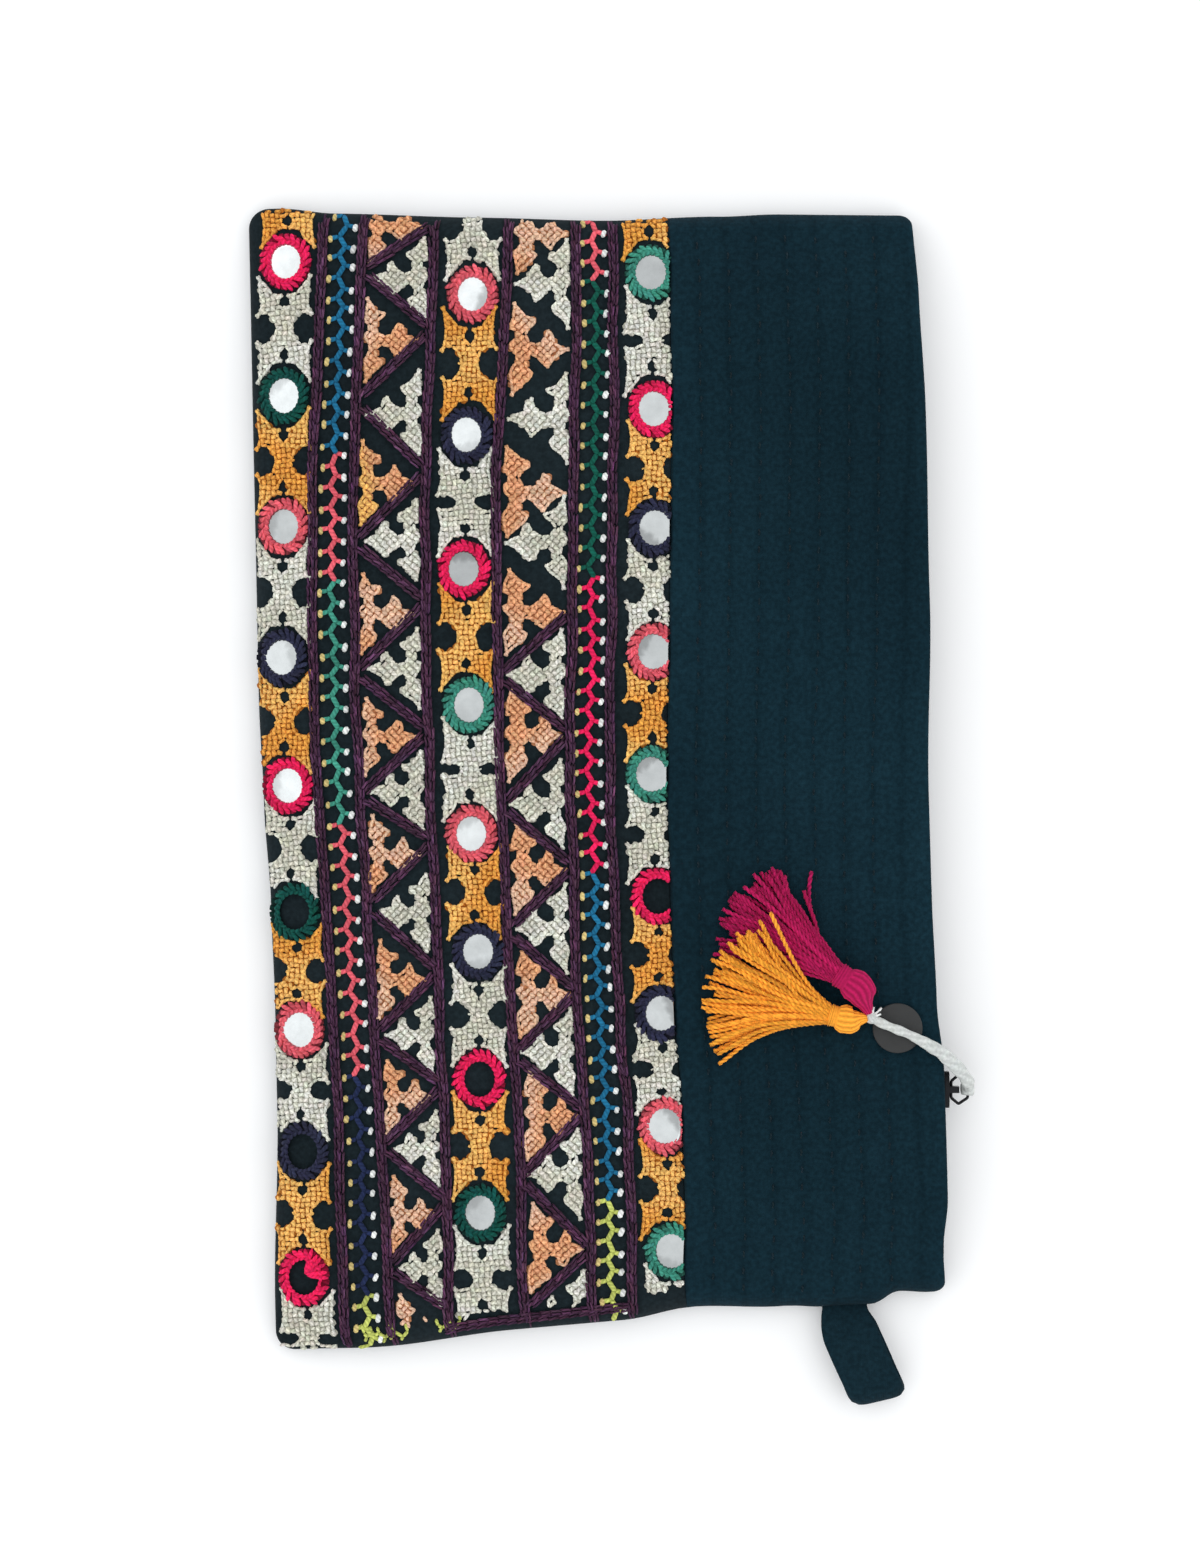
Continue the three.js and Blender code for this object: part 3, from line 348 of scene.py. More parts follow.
def ripple(x, y, size, seed):
    # six sine waves of about one length in random directions, summed to about -1 to 1
    wave = np.random.default_rng(seed)
    turn, phase = wave.uniform(0, math.pi, 6), wave.uniform(0, 6.28, 6)
    pitch = size * wave.uniform(0.75, 1.4, 6)
    total = 0
    for a, b, c in zip(turn, pitch, phase):
        total = total + np.sin((x * math.cos(a) + y * math.sin(a)) * fullTurn / b + c)
    return total / 3


cotton = {
    "quiltPitch": 7.3,
    "stitchPitch": 4.3,
    "quiltDepth": 0.34,
    "seamDip": 0.8,
    "seamDipWidth": 4.0,
    "lip": 0.55,  # the folded edge of the band stands over the panel
    "drawIn": 0.16,  # puckers that the stitches pull into the cloth
    "sag": 0.3,
    "pucker": 0.4,
}


def pastSeam(across, down):
    # mm from the seam towards the zip
    return (across - stripeAt("seam", down)) * pouch["width"]


def quiltGroove(across, down):
    # 1 along every row of quilting and 0 between them
    p = planPlace(across, down)
    run = pastSeam(across, down)
    drift = 0.5 * ripple(p[..., 0], p[..., 1], 90, 3)
    pitch = cotton["quiltPitch"]
    toRow = np.mod(run + drift + pitch / 2, pitch) - pitch / 2
    return np.exp(-(toRow**2) / 0.9) * smooth(run / 5)


def bandRelief(across, down):
    p = planPlace(across, down)
    run = pastSeam(across, down)
    row = np.floor(run / cotton["quiltPitch"] + 0.5)
    stitches = 0.65 + 0.35 * np.sin(p[..., 1] * fullTurn / cotton["stitchPitch"] + row * 2.1)
    edge = smooth(run / 0.7) * 1.1 - 1.1
    lip = cotton["lip"] * np.exp(-np.maximum(0, run) / 2.4)
    soft = cotton["sag"] * ripple(p[..., 0], p[..., 1] * 0.45, 34, 5) * smooth(run / 12)
    fine = 0.05 * ripple(p[..., 0], p[..., 1], 5, 6)
    nearZip = cotton["pucker"] * np.exp(-fromZip(across) / 15) * np.cos(fullTurn * p[..., 1] / 41 + 0.7)
    away = np.minimum(1, fromZip(across) / 4)
    groove = cotton["quiltDepth"] * quiltGroove(across, down) * stitches
    return edge + lip + (fine + soft) * away - groove * away + nearZip


def panelRelief(across, down):
    p = planPlace(across, down)
    dip = -cotton["seamDip"] * (1 - smooth(-pastSeam(across, down) / cotton["seamDipWidth"]))
    pulled = cotton["drawIn"] * ripple(p[..., 0], p[..., 1], 8, 8)
    pulled = pulled + 0.2 * ripple(p[..., 0], p[..., 1], 38, 9)
    return dip + pulled * smooth(across * pouch["width"] / 6)


def frontTop(across, down, relief=None):
    full = fullness(across, down, 0, rollUp)
    if relief is None:
        seam = stripeAt("seam", down)
        bumps = np.where(across < seam, panelRelief(across, down), bandRelief(across, down))
    else:
        bumps = relief(across, down)
    return frontSeam + (topLevel(across) - frontSeam - hemTurn(across) + bumps) * full


def frontInside(across, down):
    full = fullness(across, down, pouch["wall"], rollUp)
    return frontSeam + (topLevel(across) - wallAt(across) - frontSeam + hemTurn(across)) * full


def backRise(d):
    return quarter(d / pouch["backRoll"])


def backUnder(across, down):
    return backSeam + (hemTurn(across) - backSeam) * fullness(across, down, 0, backRise)


def backInside(across, down):
    full = fullness(across, down, pouch["wall"], backRise)
    return backSeam + (wallAt(across) - backSeam - hemTurn(across)) * full


def makeMaps():
    # shares across and down and height of the front, over a half-millimetre grid of the plan
    xs, ys = np.arange(-92, 92.01, 0.5), np.arange(-148, 148.01, 0.5)
    x, y = np.meshgrid(xs, ys, indexing="ij")
    u, v = sharesAt(x, y)
    return np.stack([u, v, frontTop(clamp(u), clamp(v))])


acrossMap, downMap, topMap = makeMaps()


def readMap(values, x, y):
    # each value is a mean of the four nearest in the grid, weighted by how near they are
    i = np.clip((np.asarray(x) + 92) / 0.5, 0, values.shape[0] - 1.001)
    j = np.clip((np.asarray(y) + 148) / 0.5, 0, values.shape[1] - 1.001)
    a, b = i.astype(int), j.astype(int)
    s, t = i - a, j - b
    near = mix(values[a, b], values[a, b + 1], t)
    return mix(near, mix(values[a + 1, b], values[a + 1, b + 1], t), s)


def topAt(x, y):
    return readMap(topMap, x, y)


print("plan and heights worked out")


# Mesh making
def newPiece(name, points, faces, finish, slotName, wrap=None, colours=None, replaced=()):
    placed = toFrame(points)
    corners = placed[faces]
    around = np.cross(corners[:, 1] - corners[:, 0], corners[:, 2] - corners[:, 0])
    around = around + np.cross(corners[:, 2] - corners[:, 0], corners[:, 3] - corners[:, 0])
    if (corners[:, 0] * around).sum() < 0:  # the volume is negative, so the faces point in
        faces = faces[:, ::-1]
        wrap = None if wrap is None else wrap[:, ::-1]
    mesh = bpy.data.meshes.new(name)
    mesh.vertices.add(len(placed))
    mesh.vertices.foreach_set("co", placed.astype(np.float32).ravel())
    mesh.loops.add(faces.size)
    mesh.loops.foreach_set("vertex_index", faces.astype(np.int32).ravel())
    mesh.polygons.add(len(faces))
    mesh.polygons.foreach_set("loop_start", np.arange(0, faces.size, 4, dtype=np.int32))
    mesh.update(calc_edges=True)
    if wrap is not None:
        layer = mesh.uv_layers.new(name="thread")
        layer.data.foreach_set("uv", wrap.astype(np.float32).ravel())
    if colours is not None:
        # the dye attribute is each point's colour; on the band, beds, tassel heads and mirrors it includes
        # painted shade, highlight or reflection
        tint = mesh.color_attributes.new(name="dye", type="FLOAT_COLOR", domain="POINT")
        rgba = np.concatenate([colours, np.ones((len(colours), 1))], 1)
        tint.data.foreach_set("color", rgba.astype(np.float32).ravel())
    mesh.validate()
    mesh.shade_smooth()
    mesh.materials.append(finish)
    piece = bpy.data.objects.new(name, mesh)
    bpy.context.scene.collection.objects.link(piece)
    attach(piece, "root")
    if replaced:
        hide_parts(*replaced)
    print(name, len(faces) * 2, "triangles")
    return piece


def gridFaces(rows, columns):
    i, j = np.meshgrid(np.arange(rows - 1), np.arange(columns - 1), indexing="ij")
    a = (i * columns + j).ravel()
    return np.stack([a, a + columns, a + columns + 1, a + 1], -1)


def shellFaces(rows, columns):
    # two grids one under the other, joined round their rims
    size = rows * columns
    top = gridFaces(rows, columns)
    under = top[:, ::-1] + size
    rim = np.concatenate(
        [
            np.arange(columns - 1),
            np.arange(rows - 1) * columns + columns - 1,
            (rows - 1) * columns + np.arange(columns - 1, 0, -1),
            np.arange(rows - 1, 0, -1) * columns,
        ]
    )
    following = np.roll(rim, -1)
    side = np.stack([rim, following, following + size, rim + size], -1)
    return np.concatenate([top, under, side])


def shell(name, upper, lower, finish, slotName, replaced=(), grooveShadeAndEdgeTone=None):
    # a closed wall between two grids of points, with an extra tone for each point of the upper one; the
    # band's is painted shade along its quilting grooves and lighter at its zip edge
    points = np.concatenate([upper.reshape(-1, 3), lower.reshape(-1, 3)])
    tone = 1 + 0.13 * ripple(points[:, 0], points[:, 1], 120, 12)
    if grooveShadeAndEdgeTone is not None:
        tone[: grooveShadeAndEdgeTone.size] *= grooveShadeAndEdgeTone.ravel()
    colours = np.repeat(tone[:, None], 3, 1)
    faces = shellFaces(*upper.shape[:2])
    return newPiece(name, points, faces, finish, slotName, colours=colours, replaced=replaced)


def tubeFaces(rings, sides):
    # quads between rings one after another, and a fan of quads over each end
    i, j = (q.ravel() for q in np.meshgrid(np.arange(rings - 1), np.arange(sides), indexing="ij"))
    a, b = i * sides + j, i * sides + (j + 1) % sides
    fan = np.array([(0, m, m + 1, m + 2) for m in range(1, sides - 2, 2)])
    walls = np.stack([a, b, b + sides, a + sides], -1)
    return np.concatenate([walls, fan[:, ::-1], fan + (rings - 1) * sides]), i, j


def tubeSet(centres, sideways, upwards, lengths):
    # n tubes of k rings with s points: ring point = centre + sideways and upwards offsets, as arrays
    # (n, k, 3) and (n, k, s); both ends are closed by a fan of quads. Returns points, faces and wrap.
    n, k, s = sideways.shape[:3]
    points = centres[:, :, None, :] + sideways + upwards
    faces, i, j = tubeFaces(k, s)
    caps = len(faces) - len(i)
    faces = (faces + (np.arange(n) * k * s)[:, None, None]).reshape(-1, 4)
    u = np.stack([j / s, (j + 1) / s, (j + 1) / s, j / s], -1)
    v = np.stack([lengths[:, q] for q in (i, i, i + 1, i + 1)], -1)
    wallWrap = np.stack([np.broadcast_to(u, v.shape), v], -1)
    wrap = np.concatenate([wallWrap, np.zeros((n, caps, 4, 2))], 1).reshape(-1, 4, 2)
    return points.reshape(-1, 3), faces, wrap


def capsules(centres, side, up, width, height, angle, girth, lengths, square=1.0):
    # tubes whose half sizes change with the girth of each ring; side and up are one axis, or one a tube
    girth = girth[:, None] * square
    wide, high = (np.asarray(half, float)[..., None, None] * girth for half in (width, height))
    sideways = (np.cos(angle) * wide)[..., None] * np.asarray(side, float)[..., None, None, :]
    upwards = (np.sin(angle) * high)[..., None] * np.asarray(up, float)[..., None, None, :]
    shape = (*centres.shape[:2], len(angle), 3)
    return tubeSet(centres, np.broadcast_to(sideways, shape), np.broadcast_to(upwards, shape), lengths)


def onCloth(start, end, t, lift, even=0.0):
    # points at shares t of each stitch, at the height of the cloth there plus the lift; even is how much of
    # the cloth's relief under a stitch is levelled out
    centre = start[:, None] + (end - start)[:, None] * t[:, None]
    cloth = topAt(centre[..., 0], centre[..., 1])
    cloth = mix(cloth, cloth.mean(1, keepdims=True), even)
    return np.concatenate([centre, (cloth + lift)[..., None]], -1)


def sewn(name, sets, finish, slotName, replaced=()):
    # one piece of many sets, each one points, faces, wrap and colours or None
    base = np.cumsum([0] + [len(points) for points, *_ in sets])
    sets = [(points, faces + start, *rest) for (points, faces, *rest), start in zip(sets, base)]
    points, faces, *rest = (None if column[0] is None else np.concatenate(column) for column in zip(*sets))
    return newPiece(name, points, faces, finish, slotName, *rest, replaced)


# Finishes
def nodesOf(name):
    finish = bpy.data.materials.new(name)
    finish.use_nodes = True
    tree = finish.node_tree
    return finish, tree, tree.nodes["Principled BSDF"]


def add(tree, kind, values=None, **links):
    node = tree.nodes.new(kind)
    for key, value in (values or {}).items():
        if key in node.inputs:
            node.inputs[key].default_value = value
        else:
            setattr(node, key, value)
    for key, source in links.items():
        tree.links.new(source, node.inputs[key])
    return node


def times(tree, a, b):
    product = tree.nodes.new("ShaderNodeMath")
    product.operation = "MULTIPLY"
    for socket, source in zip(product.inputs, (a, b)):
        tree.links.new(source, socket)
    return product.outputs["Value"]


def noise(tree, place, scale, detail, roughness=0.5):
    values = {"Scale": scale, "Detail": detail, "Roughness": roughness}
    return add(tree, "ShaderNodeTexNoise", values, Vector=place).outputs["Fac"]


def ranged(tree, source, low, high, fromLow=0.0, fromHigh=1.0):
    # carries the source's values from fromLow..fromHigh to low..high
    values = {"From Min": fromLow, "From Max": fromHigh, "To Min": low, "To Max": high}
    return add(tree, "ShaderNodeMapRange", values, Value=source).outputs["Result"]


# reads the dye attribute: colour, with painted shade, highlight or reflection where a piece has them
def dyeAndPaintedLight(tree):
    return add(tree, "ShaderNodeAttribute", {"attribute_name": "dye"}).outputs["Color"]


def setColour(tree, shader, colour, share):
    # base colour = colour times share; colour is a socket or three numbers
    shade = add(tree, "ShaderNodeVectorMath", {"operation": "SCALE"}, Scale=share)
    if isinstance(colour, tuple):
        shade.inputs[0].default_value = colour
    else:
        tree.links.new(colour, shade.inputs[0])
    tree.links.new(shade.outputs["Vector"], shader.inputs["Base Color"])


def setBump(tree, shader, height, strength, distance):
    relief = add(tree, "ShaderNodeBump", {"Strength": strength, "Distance": distance}, Height=height)
    tree.links.new(relief.outputs["Normal"], shader.inputs["Normal"])


def clothFinish(name, colour, patch, weave):
    # plain weave: two sine bands at right angles set the bump, soft noise varies the colour, and the dye of
    # each point carries its tone, which on the band holds painted shade along the quilting grooves
    finish, tree, shader = nodesOf(name)
    place = add(tree, "ShaderNodeTexCoord").outputs["Object"]
    bands = {"Scale": weave, "Distortion": 0.6, "Detail": 1.0}
    warp, weft = (
        add(tree, "ShaderNodeTexWave", {"bands_direction": way, **bands}, Vector=place).outputs["Fac"]
        for way in ("X", "Y")
    )
    cloud = noise(tree, place, 38.0, 5.0, 0.6)
    blend = add(tree, "ShaderNodeMix", {"data_type": "RGBA"}, Factor=cloud)
    blend.inputs["A"].default_value = (*colour, 1)
    blend.inputs["B"].default_value = (*patch, 1)
    both = add(tree, "ShaderNodeVectorMath", {"operation": "MULTIPLY"})
    tree.links.new(blend.outputs["Result"], both.inputs[0])
    tree.links.new(dyeAndPaintedLight(tree), both.inputs[1])
    speck = ranged(tree, noise(tree, place, 900.0, 3.0), 0.8, 1.35, 0.35, 0.75)
    setColour(tree, shader, both.outputs["Vector"], speck)
    setBump(tree, shader, times(tree, warp, weft), 0.45, 0.0002)
    setInputs(shader, Roughness=0.95, Specular_IOR_Level=0.04, Sheen_Weight=0.02, Sheen_Roughness=0.5)
    return finish


def threadFinish(name, plies, pitch, deep=0.78, bump=0.5, shine=0.15):
    # Each stitch has its own dye. The plies are bands that run slantwise round it on its own wrap: so many
    # to a turn, and pitch mm from one to the next along it.
    finish, tree, shader = nodesOf(name)
    wrap = add(tree, "ShaderNodeUVMap", {"uv_map": "thread"}).outputs["UV"]
    placed = {"Location": (0.5 / plies, 0, 0), "Scale": (1.0, 1 / (plies * pitch), 1.0)}
    slant = add(tree, "ShaderNodeMapping", placed, Vector=wrap).outputs["Vector"]
    # a wave texture of scale 1 has ten bands in two pi
    waves = {"bands_direction": "DIAGONAL", "Scale": plies * math.pi / 5}
    bands = add(tree, "ShaderNodeTexWave", waves, Vector=slant).outputs["Fac"]
    place = add(tree, "ShaderNodeTexCoord").outputs["Object"]
    fleck = ranged(tree, noise(tree, place, 1500.0, 4.0), 0.86, 1.12, 0.3, 0.7)
    # the colour follows the plies: painted shade in their grooves, down to deep times the dye, and painted
    # highlight on their crests, up to 1.15 times
    setColour(tree, shader, dyeAndPaintedLight(tree), times(tree, ranged(tree, bands, deep, 1.15), fleck))
    setBump(tree, shader, bands, bump, 0.00025)
    setInputs(shader, Roughness=0.85, Specular_IOR_Level=shine, Sheen_Weight=0.06, Sheen_Roughness=0.4)
    return finish


def hardFinish(name, colour, metallic, roughness, scratch):
    finish, tree, shader = nodesOf(name)
    wear = noise(tree, add(tree, "ShaderNodeTexCoord").outputs["Object"], scratch, 6.0, 0.65)
    dull = ranged(tree, wear, roughness * 0.75, roughness * 1.3, 0.3, 0.7)
    tree.links.new(dull, shader.inputs["Roughness"])
    setColour(tree, shader, tuple(colour), ranged(tree, wear, 0.8, 1.25, 0.35, 0.75))
    setBump(tree, shader, wear, 0.15, 0.0001)
    setInputs(shader, Metallic=metallic)
    return finish


def mirrorFinish(name):
    # silvering with cloudy patches; each mirror's dye carries its painted reflection, from bright to grey
    finish, tree, shader = nodesOf(name)
    cloud = noise(tree, add(tree, "ShaderNodeTexCoord").outputs["Object"], 210.0, 5.0, 0.6)
    setColour(tree, shader, dyeAndPaintedLight(tree), ranged(tree, cloud, 0.86, 1.05, 0.3, 0.7))
    setBump(tree, shader, cloud, 0.12, 0.0003)
    setInputs(shader, Metallic=0.85, Roughness=0.16)
    return finish


groundCloth = clothFinish("groundCloth", dye("1f272b"), dye("162125"), 900)
plainCotton = clothFinish("plainCotton", dye("0c212a"), dye("142c36"), 800)
loopCotton = clothFinish("loopCotton", dye("0d1f27"), dye("152a33"), 700)
zipCloth = clothFinish("zipCloth", dye("0c1114"), dye("12181c"), 1300)
floss = threadFinish("floss", 2, 1.15)
braidFloss = threadFinish("braidFloss", 3, 2.2, deep=0.55, bump=0.7)
tasselCotton = threadFinish("tasselCotton", 2, 900.0, deep=0.74, bump=0.2)
cordCotton = threadFinish("cordCotton", 5, 4.0, deep=0.95, bump=0.07, shine=0.1)
oldGlass = mirrorFinish("oldGlass")
blackMetal = hardFinish("blackMetal", dye("1d1d20"), 0.7, 0.35, 600)
darkDisc = hardFinish("darkDisc", dye("282929"), 0.0, 0.6, 420)
print("finishes mixed")


# The three sewn walls
def spaced(count, ends):
    # shares of a side, closer together near its two ends
    t = np.linspace(0, 1, count)
    return t - ends * np.sin(t * 2 * math.pi) / (2 * math.pi)


def clothWalls():
    gapShare = 0.04 / pouch["width"]
    wallShare, endShare = pouch["wall"] / pouch["width"], pouch["wall"] / pouch["foldLength"]

    def grid(across, down, height):
        across, down = np.broadcast_arrays(across, down)
        return np.concatenate([planPlace(across, down), height(across, down)[..., None]], -1)

    down = spaced(206, 0.8)[:, None]
    inDown = mix(endShare, 1 - endShare, down)
    seam, inSeam = stripeAt("seam", down), stripeAt("seam", inDown)
    t = spaced(84, 0.7)[None]
    panelTop = grid(t * (seam - gapShare), down, lambda u, v: frontTop(u, v, panelRelief))
    panelIn = grid(mix(wallShare, inSeam - gapShare, t), inDown, frontInside)
    shell("panelCloth", panelTop, panelIn, groundCloth, "embroidered_ground", ["embroidered_panel"])

    t = spaced(84, 0.8)[None]
    across = mix(seam + gapShare, 1, t)
    bandTop = grid(across, down, lambda u, v: frontTop(u, v, bandRelief))
    bandIn = grid(mix(inSeam + gapShare, 1, t), inDown, frontInside)
    # painted shade: 15% darker along each quilting groove; within 3% of the width of the zip edge, up to 10%
    # lighter
    grooveShadeAndEdgeTone = 1 - 0.15 * quiltGroove(across, down) + 0.1 * smooth((0.03 - np.abs(1 - across)) / 0.03)
    shell("bandCloth", bandTop, bandIn, plainCotton, "teal_black_cotton", ["quilted_band"], grooveShadeAndEdgeTone)

    down = spaced(120, 0.85)[:, None]
    t = spaced(64, 0.85)[None]
    backIn = grid(mix(wallShare, 1, t), mix(endShare, 1 - endShare, down), backInside)
    backOut = grid(t, down, backUnder)
    shell("backCloth", backIn, backOut, plainCotton, "teal_black_cotton", ["back_panel"])


clothWalls()


# Stitches: short capsules of thread laid on the cloth
def seamX(y):
    # plan x of the seam line beside each y
    v = np.linspace(-0.02, 1.02, 200)
    p = planPlace(stripeAt("seam", v), clamp(v))
    return np.interp(-np.asarray(y), -p[:, 1], p[:, 0])


def keptBack(inner, outer, edge):
    # what passes the seam line goes in under the band
    past = (outer[:, 0] - edge) / np.maximum(1e-6, outer[:, 0] - inner[:, 0])
    return mix(outer, inner, clamp(np.where(outer[:, 0] > edge, past, 0))[:, None])


def stitches(start, end, width, height, lift, colours, sides=6, arch=0.0, dive=0.25):
    # Centre line runs straight from start to end, height = cloth + lift + arch sin(pi t), less of the lift at
    # both ends, where the thread dives in; girth 0.4, 1, 1, 0.4 of the full one. One row for each stitch.
    start, end = np.asarray(start, float), np.asarray(end, float)
    n = len(start)
    edge = seamX((start[:, 1] + end[:, 1]) / 2) - 0.15
    end = keptBack(start, end, edge)
    start = keptBack(end, start, edge)
    length = np.hypot(*(end - start).T)
    keep = length > 0.35
    for spot in (start, (start + end) / 2, end):
        u, v = (readMap(values, *spot.T) for values in (acrossMap, downMap))
        keep &= (u > 0.0005) & (v > 0.0008) & (v < 0.9992)
        keep &= topAt(*spot.T) > pouch["seamHeight"] + 0.6
    start, end, length = start[keep], end[keep], length[keep]
    colours = np.broadcast_to(colours, (n, 3))[keep]
    width, height, lift = (np.broadcast_to(np.asarray(q, float), (n,))[keep] for q in (width, height, lift))
    side, up = np.pad(leftOf(end - start) / length[:, None], ((0, 0), (0, 1))), (0, 0, 1)
    t, girth = np.array([0, 0.2, 0.8, 1]), np.array([0.4, 1, 1, 0.4])
    rise = lift[:, None] * np.array([dive, 1, 1, dive]) + arch * np.sin(math.pi * t)
    centre = onCloth(start, end, t, rise, 0.35)
    angle = roundTurn(sides) + math.pi / sides
    points, faces, wrap = capsules(centre, side, up, width / 2, height / 2, angle, girth, length[:, None] * t)
    return points, faces, wrap, np.repeat(colours, 4 * sides, 0)


def varied(colour, n, spread=0.16):
    # n shades of one dye
    light, tint = chance.normal(0, spread, (n, 1)), chance.normal(0, spread / 5, (n, 3))
    return np.asarray(colour) * np.exp(light) * np.exp(tint)


def tinted(colour, n, spread, sides):
    # the same for the rings of a thread, each shade on all the points of its ring
    return np.repeat(varied(colour, n, spread), sides, 0)


def insideShape(points, shape):
    # even-odd rule, one crossing test for each point and each side of the shape
    x, y = points[:, 0, None], points[:, 1, None]
    a, b = shape, np.roll(shape, -1, 0)
    crosses = (a[:, 1] > y) != (b[:, 1] > y)
    rise = np.where(b[:, 1] == a[:, 1], 1e-9, b[:, 1] - a[:, 1])
    at = a[:, 0] + (y - a[:, 1]) * (b[:, 0] - a[:, 0]) / rise
    return (crosses & (x < at)).sum(1) % 2 == 1


# Woven motifs: outlines in mm round the motif's middle; the four-armed one is a quarter, mirrored
motif = {
    "pitch": 1.28,
    "threadWidth": 1.08,
    "threadHeight": 0.8,
    "lift": 0.42,
    "outlinePitch": 1.55,
    "farthest": 22,
    "until": 0.979,  # share down the pouch where the motifs give way to the hem, past the left border
    "fourArms": [
        (-2.3, 0), (-2.5, 1.5), (-3.2, 2.9), (-4.5, 3.8), (-6.0, 3.9), (-7.4, 3.1), (-6.4, 6.2),
        (-6.4, 9.0), (-7.0, 14.4), (-4.3, 11.2), (-3.0, 9.4), (-0.35, 8.8), (-1.3, 7.5), (-1.2, 6.2),
        (-0.02, 5.1),
    ],
    "threeArms": [
        (-2.9, 12.2), (-1.2, 10.4), (0.4, 8.6), (2.6, 7.6), (2.5, 6.4), (0.9, 5.2), (0.4, 3.6),
        (1.2, 1.9), (2.6, 1.3), (3.7, 1.9), (4.6, 3.0), (5.6, 5.2), (7.0, 3.9), (7.4, 1.8), (9.2, 0.9),
        (10.9, -0.3), (8.6, -1.6), (7.2, -2.8), (5.8, -5.3), (4.2, -4.1), (3.1, -2.3), (1.6, -1.9),
        (0.5, -3.1), (0.6, -4.8), (2.1, -6.2), (1.5, -8.0), (-1.0, -10.0), (-3.4, -12.4), (-3.8, -9.6),
        (-4.4, -6.2), (-3.4, -4.4), (-2.3, -3.2), (-2.5, -1.6), (-4.2, 0.2), (-4.1, 1.6), (-2.6, 2.6),
        (-2.5, 4.6), (-4.1, 5.2), (-3.8, 8.0), (-3.2, 10.6),
    ],
}


def fourArmShape(waist):
    # waist is how far the side hollows open, 1 for the round ones of the yellow motifs
    upperLeft = np.array(motif["fourArms"])
    upperLeft[1:6, 1] *= waist
    upperRight = upperLeft[::-1] * (-1, 1)
    lowerRight = upperLeft * (-1, -1)
    lowerLeft = upperLeft[::-1] * (1, -1)
    return np.concatenate([upperLeft, upperRight, lowerRight, lowerLeft])


def toOutline(points, outline):
    # distance from each point to the nearest side of the outline
    a, b = outline, np.roll(outline, -1, 0)
    side = b - a
    reach = ((points[:, None] - a) * side).sum(-1) / np.maximum((side**2).sum(-1), 1e-9)
    foot = a + clamp(reach)[..., None] * side
    return np.linalg.norm(points[:, None] - foot, axis=-1).min(1)


def aboveHem(spots):
    across, down = (readMap(values, *spots.T) for values in (acrossMap, downMap))
    return (down < motif["until"]) | (across < 0.1)


def outlineStitches(outline):
    # starts and ends of stitches just inside an outline, whole ones between corners, so the tips stay sharp
    corners = np.concatenate([outline, outline[:1]])
    run = runAlong(corners)
    at = []
    for a, b in zip(run[:-1], run[1:]):
        steps = max(1, int(round((b - a) / motif["outlinePitch"])))
        at += list(a + (b - a) * np.arange(steps) / steps)
    line = pointsAt(at + [run[-1]], run, corners)
    ahead = unit(np.diff(line, axis=0), 1e-6)
    inward = leftOf(ahead)
    if not insideShape((line[:1] + line[1:2]) / 2 + inward[:1] * 0.1, outline)[0]:
        inward = -inward
    return line[:-1] - ahead * 0.1 + inward * 0.36, line[1:] + ahead * 0.1 + inward * 0.36


